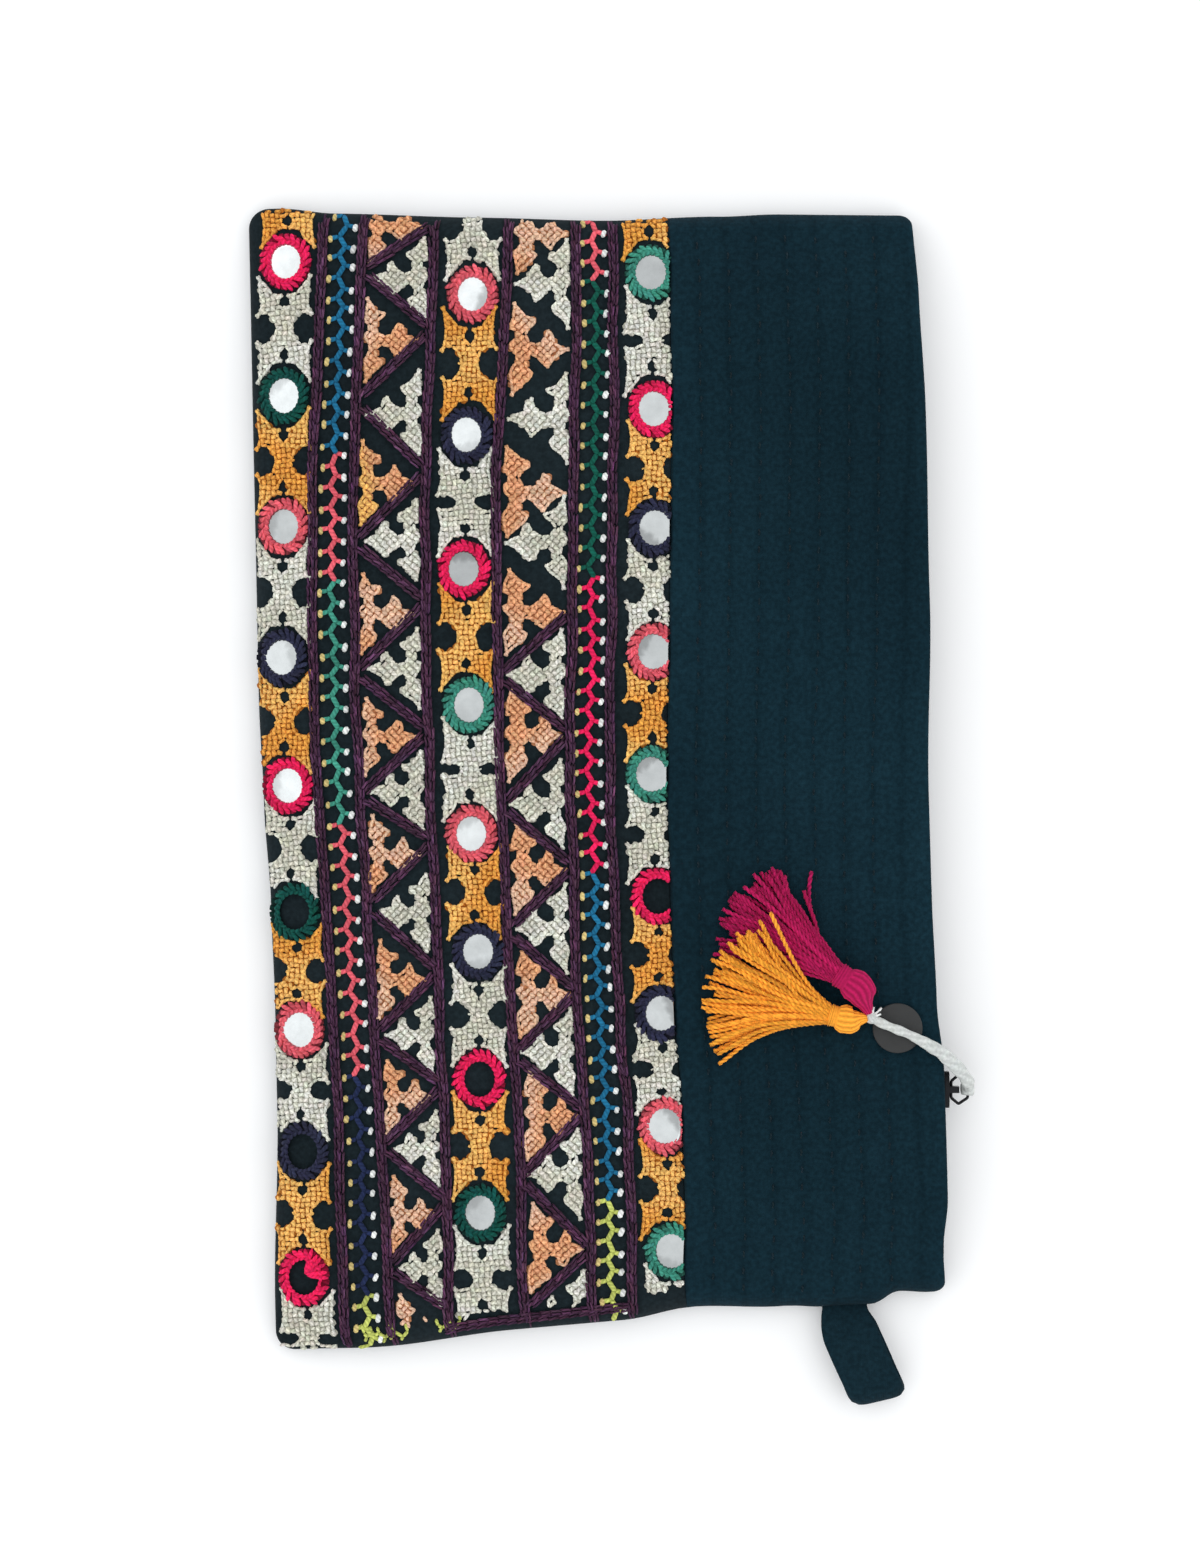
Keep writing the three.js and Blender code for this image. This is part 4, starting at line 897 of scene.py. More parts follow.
def fillMotif(shape, centre, scale, slant, colour, second, gapShadeColour):
    # Basket filling: on a lattice of the pitch, every cell inside the shape takes one thread, lengthways
    # and crossways by turns, over a bed of a darker colour, which is painted shade between the threads. A row
    # of stitches follows the outline.
    heading, phase = chance.uniform(0, 6.28, 2)

    def shaded(at):
        # the skein changes slowly from one shade to the other across the motif
        wave = np.sin(at @ (math.cos(heading), math.sin(heading)) * 0.26 + phase)
        return varied(mix(colour, second, smooth(0.5 + 0.7 * wave)[:, None]), len(at), 0.09)

    pitch = motif["pitch"]
    outline = np.asarray(shape) * scale
    outline = outline + chance.normal(0, 0.16, outline.shape)
    turn = np.array([[math.cos(slant), -math.sin(slant)], [math.sin(slant), math.cos(slant)]])
    reach = int(motif["farthest"] / pitch)
    row = np.arange(-reach, reach + 1)
    cells = np.stack(np.meshgrid(row, row, indexing="ij"), -1).reshape(-1, 2)
    spots = (cells * pitch) @ turn.T
    spots[:, 0] += 0.22 * np.sin(spots[:, 1] * 0.9 + chance.uniform(0, 6))
    spots[:, 1] += 0.22 * np.sin(spots[:, 0] * 0.8 + chance.uniform(0, 6))
    inside = insideShape(spots, outline) & aboveHem(spots + centre)
    deep = np.where(inside, toOutline(spots, outline), 0)
    lengthways = cells.sum(1) % 2 == 0
    shadeBeds = spots[lengthways & (deep > 0.32)]  # squares on every second cell, turned by 45 degrees, meet
    slantwise = (turn[:, 0] + turn[:, 1]) * pitch * 0.52
    start, end = shadeBeds - slantwise + centre, shadeBeds + slantwise + centre
    # the beds' darker colour is painted shade, seen between the threads
    gaps = varied(gapShadeColour, len(shadeBeds), 0.05)
    sets = [stitches(start, end, pitch * 2.1, 0.5, 0.12, gaps, 4, dive=1)]
    spots, lengthways = spots[deep > 0.5], lengthways[deep > 0.5]
    n = len(spots)
    jitter = chance.normal(0, 0.07, (n, 2, 2))
    half = np.where(lengthways[:, None], turn[:, 1], turn[:, 0]) * pitch * chance.uniform(0.6, 0.7, (n, 1))
    lift = motif["lift"] + np.where(lengthways, 0.12, 0.0) + chance.normal(0, 0.05, n)
    wide = motif["threadWidth"] * chance.uniform(0.88, 1.1, n)
    start, end = spots - half + jitter[:, 0] + centre, spots + half + jitter[:, 1] + centre
    sets.append(stitches(start, end, wide, motif["threadHeight"], lift, shaded(spots), arch=0.1))

    start, end = outlineStitches(outline)
    clear = aboveHem(start + centre)
    start, end = start[clear], end[clear]
    lift = motif["lift"] + chance.normal(0, 0.06, len(start))
    sets.append(stitches(start + centre, end + centre, 0.86, 0.72, lift, shaded(start), dive=0.4))
    return sets


# Dyes of the threads
threads = {
    "crimson": "e8205a",
    "coral": "e25f6c",
    "green": "0c4d45",
    "teal": "3f8f7c",
    "navy": "2b2d44",
    "yellow": "f6c06c",
    "amber": "eda64a",
    "ochre": "d3bd7c",
    "pale": "e6e5da",
    "ivory": "dad8c8",
    "peach": "ebc2a5",
    "apricot": "ebad80",
    "aubergine": "503049",
    "blue": "1c6a90",
    "lime": "c0c868",
    "white": "e9ebe8",
}
# Each border's rings: shares across and down, thread, which are empty, and how bright the painted
# reflection in each mirror is
rings = {
    "left": {
        "across": (0.0556, 0.0489, 0.044, 0.0375, 0.0383, 0.0375, 0.0375, 0.0395, 0.0447),
        "down": (0.048, 0.166, 0.28, 0.394, 0.506, 0.616, 0.719, 0.825, 0.935),
        "thread": ("crimson", "green", "coral", "navy", "crimson", "green", "coral", "navy", "crimson"),
        "empty": (6, 8, 9),
        "glass": (1, 1, 0.62, 0.85, 1, 0, 0.95, 0, 0),
        "loose": 9,  # its thread has come undone to the right and lies across the hole
    },
    "middle": {
        "across": (0.335, 0.3196, 0.3116, 0.3155, 0.3123, 0.3132, 0.3075, 0.3066),
        "down": (0.072, 0.198, 0.317, 0.438, 0.552, 0.657, 0.77, 0.889),
        "thread": ("coral", "navy", "crimson", "teal", "coral", "navy", "crimson", "green"),
        "empty": (7,),
        "glass": (1, 0.95, 0.5, 0.62, 0.85, 0.7, 0, 0.6),
    },
    "right": {
        "across": (0.602, 0.598, 0.595, 0.5895, 0.585, 0.587, 0.584, 0.581, 0.592),
        "down": (0.052, 0.177, 0.285, 0.397, 0.508, 0.619, 0.725, 0.827, 0.943),
        "thread": ("teal", "crimson", "navy", "coral", "teal", "crimson", "navy", "coral", "teal"),
        "empty": (6,),
        "glass": (0.52, 0.7, 0.66, 0.6, 0.6, 0, 0.68, 0.75, 0.62),
    },
}
ringShape = {
    "outer": (6.7, 7.4),
    "inner": (4.0, 4.6),
    "petals": 24,
    "innerStitches": 22,
    "slant": 0.4,
    "lift": 0.75,
}


def sewRings():
    sets, nodes = [], []
    outer, inner = np.array(ringShape["outer"]), np.array(ringShape["inner"])
    n, m, lift = ringShape["petals"], ringShape["innerStitches"], ringShape["lift"]
    for border, row in rings.items():
        for k, middle in enumerate(planPlace(row["across"], row["down"])):
            nodes.append(f"mirror_ring_{border}_{k + 1}")
            colour = dye(threads[row["thread"][k]])
            angle = (np.arange(n) + chance.uniform(0, 1)) * 2 * math.pi / n + chance.normal(0, 0.03, n)
            reach = chance.uniform(0.9, 1.06, n)[:, None]
            foot = middle + arrow(angle - ringShape["slant"]) * inner * 1.02
            if k + 1 == row.get("loose"):
                foot = mix(foot, middle + (0.3, 0.9), smooth((np.cos(angle - 0.7) - 0.6) / 0.2)[:, None])
            tip = middle + arrow(angle) * outer * reach
            edge = planPlace(0, sharesAt(tip[:, 0], tip[:, 1])[1])[:, 0]
            tip[:, 0] = np.maximum(tip[:, 0], edge + 1.2)
            sets.append(stitches(foot, tip, 1.18, 1.25, lift, varied(colour, n, 0.16), arch=0.25))
            # painted shade between the petals: a dark bed of three tenths of the thread's colour
            shadeBed, ahead = (middle + arrow(angle + turn) * mix(inner, outer, 0.5) for turn in (0, 0.3))
            sets.append(stitches(shadeBed, ahead, 3.4, 0.7, 0.3, varied(colour * 0.3, n, 0.05), 4))
            turn = roundTurn(m) + chance.uniform(0, 0.2)
            a, b = middle + arrow(turn) * inner * 1.1, middle + arrow(turn + 0.36) * inner * 1.02
            sets.append(stitches(a, b, 0.9, 0.95, lift + 0.55, varied(colour, m, 0.12), dive=0.6))
    sewn("ringStitches", sets, floss, "crimson_thread", nodes)


sewRings()

# Mirrors: uneven oval discs, as rings of a share of the radius and a height, level across
mirror = {
    "radii": (4.45, 5.1),
    "sides": 28,
    "shares": (0.02, 1.0, 1.0, 0.94, 0.7, 0.45, 0.25, 0.02),
    "heights": (0.0, 0.0, 0.65, 0.8, 0.82, 0.83, 0.84, 0.84),
    "colour": "f6f7f7",
    "reflectionWedges": (0, 0.25, 0.4),  # how much darker a painted reflection wedge makes one side of a mirror
}


def setMirrors():
    points, shades, nodes = [], [], []
    angle = roundTurn(mirror["sides"])
    share, height = (np.array(mirror[name])[:, None] for name in ("shares", "heights"))
    for border, row in rings.items():
        for k, middle in enumerate(planPlace(row["across"], row["down"])):
            if k + 1 in row["empty"]:
                continue
            nodes.append(f"mirror_{border}_{k + 1}")
            phase = chance.uniform(0, 6, 3)
            uneven = 1 + 0.03 * np.sin(3 * angle + phase[0]) + 0.02 * np.sin(5 * angle + phase[1])
            spot = arrow(angle) * mirror["radii"] * uneven[:, None] * share[..., None]
            wedgeShade = chance.choice(mirror["reflectionWedges"])
            rise = [topAt(*(middle + step)) - topAt(*(middle - step)) for step in ((4, 0), (0, 4))]
            tilt = np.array(rise) / 8 + chance.normal(0, 0.008, 2)
            # painted reflection: each mirror's brightness from the table above, and on some a darker wedge to
            # one side
            paintedWedge = 1 - wedgeShade * smooth((np.cos(angle - phase[2]) * share - 0.35) / 0.12)
            shades.append(dye(mirror["colour"]) * row["glass"][k] * (0.97, 1, 1) * paintedWedge[..., None])
            z = topAt(*middle) + 0.15 + height + spot @ tilt
            points.append(np.concatenate([middle + spot, z[..., None]], -1))
    points, shades = (np.array(q).reshape(-1, 3) for q in (points, shades))
    points[:, 0] = np.minimum(points[:, 0], seamX(points[:, 1]) - 0.2)
    faces = tubeFaces(len(share), len(angle))[0]
    faces = np.concatenate([faces + k * share.size * angle.size for k in range(len(nodes))])
    newPiece("mirrors", points, faces, oldGlass, "mirror_glass", colours=shades, replaced=nodes)


setMirrors()


def sewBorders():
    # four-armed motifs between the rings of a border, pale and yellow by turns, that run on past its ends
    bundles = {"yellow": [], "pale": []}
    # each look's second code is the darker colour of the beds, painted shade between the threads
    looks = {"yellow": (("yellow", "amber"), "b26a22"), "pale": (("pale", "ivory"), "c2c0b2")}
    for border, row in rings.items():
        down, across = np.array(row["down"]), np.pad(row["across"], 1, "edge")
        step = np.diff(down)
        down = np.concatenate([[down[0] - step[0]], down, [down[-1] + step[-1]]])
        middles = planPlace(across, clamp(down))
        length = mix(pouch["foldLength"], pouch["zipEdgeLength"], across)
        middles[:, 1] += (clamp(down) - down) * length
        for k in range(len(down) - 1):
            a, b = middles[k], middles[k + 1]
            scale = np.array([0.98, min(1.04, abs(a[1] - b[1]) / 35.2)])
            kind = "yellow" if k % 2 == (1 if border == "middle" else 0) else "pale"
            names, gapShadeCode = looks[kind]
            waist = 1 if kind == "yellow" else chance.choice([0.45, 0.7, 1])
            slant = 0.0 if kind == "yellow" else 0.06
            colours = [dye(threads[name]) for name in names] + [dye(gapShadeCode)]
            bundles[kind] += fillMotif(fourArmShape(waist), (a + b) / 2, scale, slant, *colours)
    sewn("yellowMotifs", bundles["yellow"], floss, "gold_thread")
    sewn("paleMotifs", bundles["pale"], floss, "white_cord")


sewBorders()

# Three-armed motifs, pale ones pointing left and peach ones right, with their places down the pouch
triangles = {
    "first": {
        "from": "braidB",
        "to": "braidC",
        "peachBar": 4.0,
        "clear": 2.6,
        "tall": 0.86,
        "pale": (0.0581, 0.1787, 0.2904, 0.4036, 0.5115, 0.619, 0.7274, 0.8278, 0.934),
        "peach": (0.0127, 0.114, 0.2397, 0.3539, 0.461, 0.5643, 0.6737, 0.7765, 0.8794, 0.986),
    },
    "second": {
        "from": "braidD",
        "to": "braidE",
        "peachBar": 5.4,
        "clear": 1.6,
        "tall": 0.93,
        "pale": (0.0604, 0.1822, 0.2939, 0.4123, 0.5288, 0.6403, 0.7516, 0.8607, 0.99),
        "peach": (0.0158, 0.1212, 0.2489, 0.3555, 0.4654, 0.5848, 0.6968, 0.8049, 0.9244),
    },
}


def sewTriangles():
    pale, peach = [], []
    for strip, row in triangles.items():
        for kind in ("pale", "peach"):
            down = np.array(row[kind])
            left, right = (planPlace(stripeAt(row[side], down), down) for side in ("from", "to"))
            gaps = np.gradient(down) * stripeLength / 31.5
            bar = row["peachBar"] if kind == "peach" else 4.3
            for k in range(len(down)):
                tipReach = right[k, 0] - left[k, 0] - bar - row["clear"]
                tall = np.clip(gaps[k], 0.85, 1.03) * row["tall"]
                shape = np.array(motif["threeArms"])
                shape[:, 0] *= np.where(shape[:, 0] > 0, tipReach / 10.9, (bar - 1.1) / 4.4)
                names = ("yellow", "apricot") if (strip, k) == ("first", 2) else ("peach", "apricot")
                # the gap code is the darker colour of the beds, painted shade between the threads
                if kind == "peach":
                    bundle, centre, gapShadeCode = peach, left[k] + (bar, 0), "be8058"
                else:
                    bundle, centre, gapShadeCode, names = pale, right[k] - (bar, 0), "c2c0b2", ("pale", "ivory")
                    shape = shape * (-1, 1)
                colours = [dye(threads[name]) for name in names] + [dye(gapShadeCode)]
                bundle += fillMotif(shape, centre, (1, tall), math.pi / 4, *colours)
    sewn("peachTriangles", peach, floss, "coral_thread")
    sewn("paleTriangles", pale, floss, "white_cord")


sewTriangles()

braid = {"pitch": 2.6, "strandWidth": 0.8, "strandHeight": 0.9, "apart": 0.78, "lift": 0.62}
# from one braid to another and back: places down the pouch where each zigzag turns
zigzags = (
    {
        "braidC": (0.0079, 0.104, 0.2294, 0.3448, 0.4592, 0.5566, 0.6714, 0.772, 0.8746, 0.972),
        "braidB": (0.0521, 0.1683, 0.2915, 0.4058, 0.5129, 0.6104, 0.7227, 0.8201, 0.928),
    },
    {
        "braidE": (0.3555, 0.4654, 0.5848, 0.6968, 0.8049, 0.93),
        "braidD": (0.4123, 0.5288, 0.6403, 0.7516, 0.8607, 0.982),
    },
)


def braidAlong(path, colour):
    # Two rows of slanted stitches side by side along a path, a half step apart, like a chain.
    run = runAlong(path)
    sets = []
    for row, sign in enumerate((-1, 1)):
        s = np.arange(0.1 + row * 0.9, run[-1] - braid["pitch"] * 0.6, braid["pitch"])
        s = s + chance.normal(0, 0.12, len(s))
        ends = []
        for shift, offset in ((0, 0.95), (braid["pitch"] * 1.22, 0.5)):
            spot = pointsAt(s + shift, run, path)
            ahead = pointsAt(s + shift + 0.5, run, path) - spot
            pastEnd = np.abs(ahead).sum(1, keepdims=True) < 1e-6
            side = leftOf(unit(np.where(pastEnd, path[-1] - path[-2], ahead)))
            ends.append(spot + side * sign * braid["apart"] * offset)
        n = len(s)
        for nudge in (-0.5, 0.5):  # two threads in the needle
            wide = braid["strandWidth"] * chance.uniform(0.8, 1.15, n)
            apart = side * nudge * braid["strandWidth"] * 0.95 + chance.normal(0, 0.05, (n, 2))
            tone = varied(colour, n, 0.3)
            lift = braid["lift"] + chance.normal(0, 0.08, n)
            start, end = (spot + apart for spot in ends)
            sets.append(stitches(start, end, wide, braid["strandHeight"], lift, tone, 4, 0.2))
    return sets


def sewBraids():
    sets = []
    down = np.linspace(0.001, 0.999, 122)
    colour = dye(threads["aubergine"])
    for name in list(stripes)[:-1]:
        path = planPlace(stripeAt(name, down), down)
        path[:, 0] += 0.25 * ripple(path[:, 1], 0, 26, len(name) + ord(name[-1]))
        sets += braidAlong(path, colour)
    hem = planPlace(np.linspace(0.25, 0.53, 60), np.linspace(0.99, 0.986, 60))
    sets += braidAlong(hem, colour)
    for zigzag in zigzags:
        ends = sorted((v, name) for name, row in zigzag.items() for v in row)
        spots = [planPlace(stripeAt(name, v), v) for v, name in ends]
        for a, b in zip(spots[:-1], spots[1:]):
            sets += braidAlong(mix(a, b, np.linspace(0.05, 0.95, 12)[:, None]), colour)
    sewn("braids", sets, braidFloss, "navy_thread")


sewBraids()

# Feather stitch: a crooked spine with arms to both sides, each ending in a knot
feather = {
    "pitch": 5.1,
    "sway": 0.75,
    "leftArm": 3.0,
    "rightArm": 2.3,
    "spineWidth": 1.45,
    "dyes": {"navy": "1f2a4c", "green": "0f5b4c"},  # brighter here than in the rings
    "rows": (
        {
            "between": ("braidA", "braidB"),
            "until": (0.2085, 0.32, 0.5285, 0.7525, 0.949, 1.0),
            "threads": ("blue", "coral", "teal", "coral", "navy", "lime"),
        },
        {
            "between": ("braidE", "braidF"),
            "until": (0.056, 0.3205, 0.587, 0.881, 1.0),
            "threads": ("coral", "green", "crimson", "blue", "lime"),
        },
    ),
    # what is left of the lime line that turns along the lower side seam: shares across, and stitches
    "limeLine": ((0.13, 0.195, 11), (0.245, 0.275, 5)),
}


def sewFeathers():
    sets = []
    palette = {name: dye(code) for name, code in {**threads, **feather["dyes"]}.items()}

    def shades(colours, n, spread):
        return colours * np.exp(chance.normal(0, spread, (n, 1)))

    for row in feather["rows"]:
        n = int(stripeLength / (feather["pitch"] / 2))
        down = np.linspace(0.003, 0.997, n) + chance.normal(0, 0.0006, n)
        a, b = (stripeAt(line, down) for line in row["between"])
        spine = planPlace((a + b) / 2, down)
        sign = np.where(np.arange(n) % 2 == 0, -1, 1)
        left = sign < 0
        wander = 0.3 * ripple(spine[:, 1], 0, 40, 4) + chance.normal(0, 0.12, n)
        spine[:, 0] += sign * feather["sway"] + wander
        own = np.searchsorted(row["until"], np.clip(down, 0, 0.9999))
        tone = shades(np.array([palette[name] for name in row["threads"]])[own], n, 0.12)
        thick = feather["spineWidth"]
        ahead = spine[1:] + (spine[1:] - spine[:-1]) * 0.12
        sets.append(stitches(spine[:-1], ahead, thick, 0.8, 0.42, tone[:-1]))
        leftArm, rightArm = feather["leftArm"] - feather["sway"], feather["rightArm"] - feather["sway"] * 0.4
        arm = np.where(left, leftArm, rightArm)
        hang = np.stack([sign * (arm + 0.7), -0.75 + chance.normal(0, 0.15, n)], -1)
        sets.append(stitches(spine, spine + hang, thick * 0.85, 0.7, 0.36, tone))
        knot = spine + np.stack([sign * arm, np.full(n, -0.65)], -1)
        lean = np.where(left, 0.05, 0.28) + chance.normal(0, 0.12, n)
        lean = np.stack([lean, chance.uniform(0.8, 1.15, n)], -1)
        white = shades(np.where(left[:, None], palette["ochre"], palette["white"]), n, 0.08)
        fat = np.where(left, 1.3, 1.45) * chance.uniform(0.85, 1.1, n)
        sets.append(stitches(knot - lean, knot + lean, fat, 1.1, 0.62, white))
    for start, end, n in feather["limeLine"]:
        odd = np.arange(n) % 2 == 1
        base = planPlace(np.linspace(start, end, n), 0.987) + chance.normal(0, 0.35, (n, 2))
        base[:, 1] += np.where(odd, -0.5, 0.5)
        lime = shades(palette["lime"], n, 0.12)
        sets.append(stitches(base[:-1], base[1:], 0.95, 0.8, 0.4, lime[:-1]))
        tip = np.stack([np.full(n, -0.6), np.where(odd, -1.2, 2.0)], -1) * chance.uniform(0.6, 1.2, (n, 1))
        sets.append(stitches(base, base + tip, 0.9, 0.7, 0.36, lime))
    sewn("featherStitches", sets, floss, "teal_thread")


sewFeathers()


def sewQuilting():
    # running stitches along the band's quilting rows, nearly the colour of the cloth
    starts, ends = [], []
    for row in range(1, 8):
        for y in np.arange(-136, 146, cotton["stitchPitch"]) + chance.uniform(0, 2):
            v = sharesAt(np.array(60.0), np.array(y))[1]
            fromSeam = row * cotton["quiltPitch"] + 0.5 * chance.normal(0, 0.25)
            across = stripeAt("seam", v) + fromSeam / pouch["width"]
            if 0.02 < v < 0.98 and across < 0.955:
                starts.append(planPlace(across, v))
                ends.append(starts[-1] + (chance.normal(0, 0.08), -1.9))
    n = len(starts)
    t, girth = np.array([0, 0.25, 0.75, 1]), np.array([0.5, 1, 1, 0.5])
    centre = onCloth(np.array(starts), np.array(ends), t, np.array([-0.12, 0.1, 0.1, -0.12]))
    lengths = np.broadcast_to(1.9 * t, (n, 4))
    points, faces, wrap = capsules(centre, (1, 0, 0), (0, 0, 1), 0.22, 0.22, roundTurn(6), girth, lengths)
    sets = [(points, faces, wrap, tinted(dye("0d2129"), n, 0.12, 24))]
    sewn("quiltingStitches", sets, floss, "teal_black_cotton")


sewQuilting()


# Long threads and cords: rings carried along a path
def carried(paths, width, height, sides, lobes=0.0, turns=0.0, upright=(0, 0, 1), phase=0.0):
    # paths (n, k, 3); ring point = path + width cos b side + height sin b up, its radius times 1 + lobes
    # cos 2a, with b = a + turns s, so that the lobes wind round with the length s run so far in mm
    ahead = unit(np.gradient(paths, axis=1), 1e-9)
    side = unit(np.cross(np.broadcast_to(np.asarray(upright, float), ahead.shape), ahead), 1e-9)
    up = np.cross(ahead, side)
    run = np.array([runAlong(path) for path in paths])
    angle = roundTurn(sides)
    radius = 1 + lobes * np.cos(2 * angle)
    angle = angle + turns * run[..., None] + np.reshape(phase, (-1, 1, 1))
    width, height = (np.broadcast_to(half, run.shape)[..., None] * radius for half in (width, height))
    sideways = side[:, :, None] * (width * np.cos(angle))[..., None]
    upwards = up[:, :, None] * (height * np.sin(angle))[..., None]
    return tubeSet(paths, sideways, upwards, run)


def curveThrough(points, count):
    # evenly spaced points on a smooth curve through the given ones
    fine = np.linspace(0, 1, 600)
    line = np.stack([through(column, fine) for column in np.array(points, float).T], -1)
    run = runAlong(line)
    return pointsAt(np.linspace(0, run[-1], count), run, line)


# Pull cord: the route of its solid, in metres
pullCord = {
    "route": (
        (0.09013, -0.06915, 0.01028),
        (0.08792, -0.06595, 0.01286),
        (0.08323, -0.0613, 0.0162),
        (0.08049, -0.05952, 0.01678),
        (0.07774, -0.05793, 0.0175),
        (0.07428, -0.05617, 0.0175),
        (0.07099, -0.05485, 0.01751),
        (0.0678, -0.05352, 0.0175),
        (0.06525, -0.05206, 0.0175),
    ),
    "points": 44,
    "sides": 14,
    "width": 3.0,
    "thickness": 2.0,
    "diameter": 0.0026,  # its mean one, in metres
    "colour": "c8cbc8",
    "knot": (0.06525, -0.05206, 0.0177),
    "knotTurns": ((0.3, 0.3), (1.2, 1.9), (1.0, -0.8)),  # tilt and heading of each
    "frays": ((0.75, 3.4), (1.35, 2.6), (0.35, 2.4), (2.2, 1.8), (1.7, 2.2)),  # heading and reach
    "frayColour": "eceeec",
    "hitch": (0.08984, -0.07058, 0.00711),
    "hitchRadius": 1.35,
    "slider": (0.08379, -0.07058, 0.00711),
}


def turnedTo(angle):
    return arrow(angle, 0 * np.asarray(angle))


def fromFrame(point):
    return np.asarray(point, float) * 1000 - frameShift


def makePullCord():
    n, sides = pullCord["points"], pullCord["sides"]
    path = curveThrough([fromFrame(p) for p in pullCord["route"]], n)
    t = np.linspace(0, 1, n)
    # broad and flat by the puller, drawn in past the disc, with a lump at its edge
    taper = 1.05 - 0.3 * smooth((t - 0.42) / 0.2) + 0.12 * np.exp(-(((t - 0.25) / 0.14) ** 2))
    taper = taper + 0.2 * np.exp(-(((t - 0.55) / 0.035) ** 2)) + 0.07 * np.sin(t * 43)
    white = dye(pullCord["colour"])
    tube = carried(path[None], pullCord["width"] / 2 * taper, pullCord["thickness"] / 2 * taper, sides)
    cord = [(*tube, tinted(white, n, 0.03, sides))]
    piece = sewn("pullCord", cord, cordCotton, "white_cord", ["pull_cord"])
    length = np.linalg.norm(np.diff(toFrame(path), axis=0), axis=1).sum()

    # knot: three crossed turns of the cord, and its short frayed ends
    centre = fromFrame(pullCord["knot"])
    angle = np.linspace(0, 2 * math.pi, 30)
    turns = []
    for tilt, heading in pullCord["knotTurns"]:
        x, y = np.cos(angle), np.sin(angle)
        circle = np.stack([x, y * math.cos(tilt), y * math.sin(tilt)], -1)
        axes = np.array([turnedTo(heading), turnedTo(heading + math.pi / 2), (0, 0, 1)])
        turns.append(centre + circle @ axes * 0.95)
    tube = carried(np.array(turns), 0.72, 0.62, 10, upright=(0.3, 0.2, 1))
    sets = [(*tube, tinted(white, 90, 0.03, 10))]
    s = np.linspace(0, 1, 12)[:, None]
    rise = np.array([0, 0, 1]) * (0.9 * np.sin(s * 2.4))
    frays = [centre + turnedTo(heading) * s * reach + rise for heading, reach in pullCord["frays"]]
    tube = carried(np.array(frays), 0.3, 0.26, 6, 0.2, 2.0)
    sets.append((*tube, tinted(dye(pullCord["frayColour"]), 60, 0.04, 6)))
    knot = sewn("cordKnot", sets, cordCotton, "white_cord")

    # hitch: the cord's end turned round the puller's far bar, and its neck up to the cord
    hub, radius = fromFrame(pullCord["hitch"]), pullCord["hitchRadius"]
    angle = np.linspace(-0.6, 2 * math.pi - 0.9, 36)
    turn = hub + np.stack([np.cos(angle) * radius, 0.25 * np.sin(angle * 0.5), np.sin(angle) * radius], -1)
    foot = hub + (0.1, 0.2, 1.25)
    neck = curveThrough([foot, mix(foot, path[0], 0.5), path[0], path[1]], 10)
    sets = [
        (*hitchTurn(turn), tinted(white, len(turn), 0.03, sides)),
        (*carried(neck[None], 1.25, 0.95, sides), np.tile(white, (len(neck) * sides, 1))),
    ]
    hitch = sewn("cordHitch", sets, cordCotton, "white_cord", ["cord_hitch"])
    return piece, knot, hitch, toFrame(path), length


def hitchTurn(turn):
    # flat section: wide along the bar, thin across the turn
    ahead = unit(np.gradient(turn, axis=0))
    side = np.array([0, 1.0, 0])
    angle = roundTurn(pullCord["sides"])
    sideways = side * (1.6 * np.cos(angle))[:, None] + 0 * turn[None, :, None]
    upwards = np.cross(ahead, side)[None, :, None] * (0.45 * np.sin(angle))[:, None]
    return tubeSet(turn[None], sideways, upwards, np.linspace(0, 8, len(turn))[None])


cordPiece, knotPiece, hitchPiece, cordPath, cordLength = makePullCord()
print("pull cord", round(cordLength, 4), "m long")

# Tassels: where their heads lie in the frame, in metres, and how their skirts fan out
tassels = {
    "magenta": {
        "head": (0.06174, -0.04463, 0.01904),
        "radius": 4.0,
        "heading": 145,
        "fan": 48,
        "length": 32.0,
        "threads": 76,
        "colour": "b01653",
        "layerLift": 0.0,
        "strays": ((103, 27.0), (108, 23.0)),
    },
    "gold": {
        "head": (0.0599, -0.05271, 0.01802),
        "radius": 3.5,
        "heading": 165,
        "fan": 70,
        "length": 31.5,
        "threads": 80,
        "colour": "ffa837",
        "layerLift": 3.0,
        "strays": ((131, 27.0),),
    },
}
tasselThread = {"radius": 0.52, "twist": 1.9, "lobes": 0.18, "sides": 6, "rings": 66}
tasselHead = {
    "rings": 40,
    "sides": 60,
    "at": (0, 0.18, 0.4, 0.62, 0.74, 0.8, 0.97, 1),
    "bulge": (0.25, 0.45, 0.93, 1.0, 0.86, 0.74, 0.78, 0.6),
    "neckFrom": 0.76,
    "neckPitch": 0.048,
    "ridges": 14,
    "deep": 0.06,
}


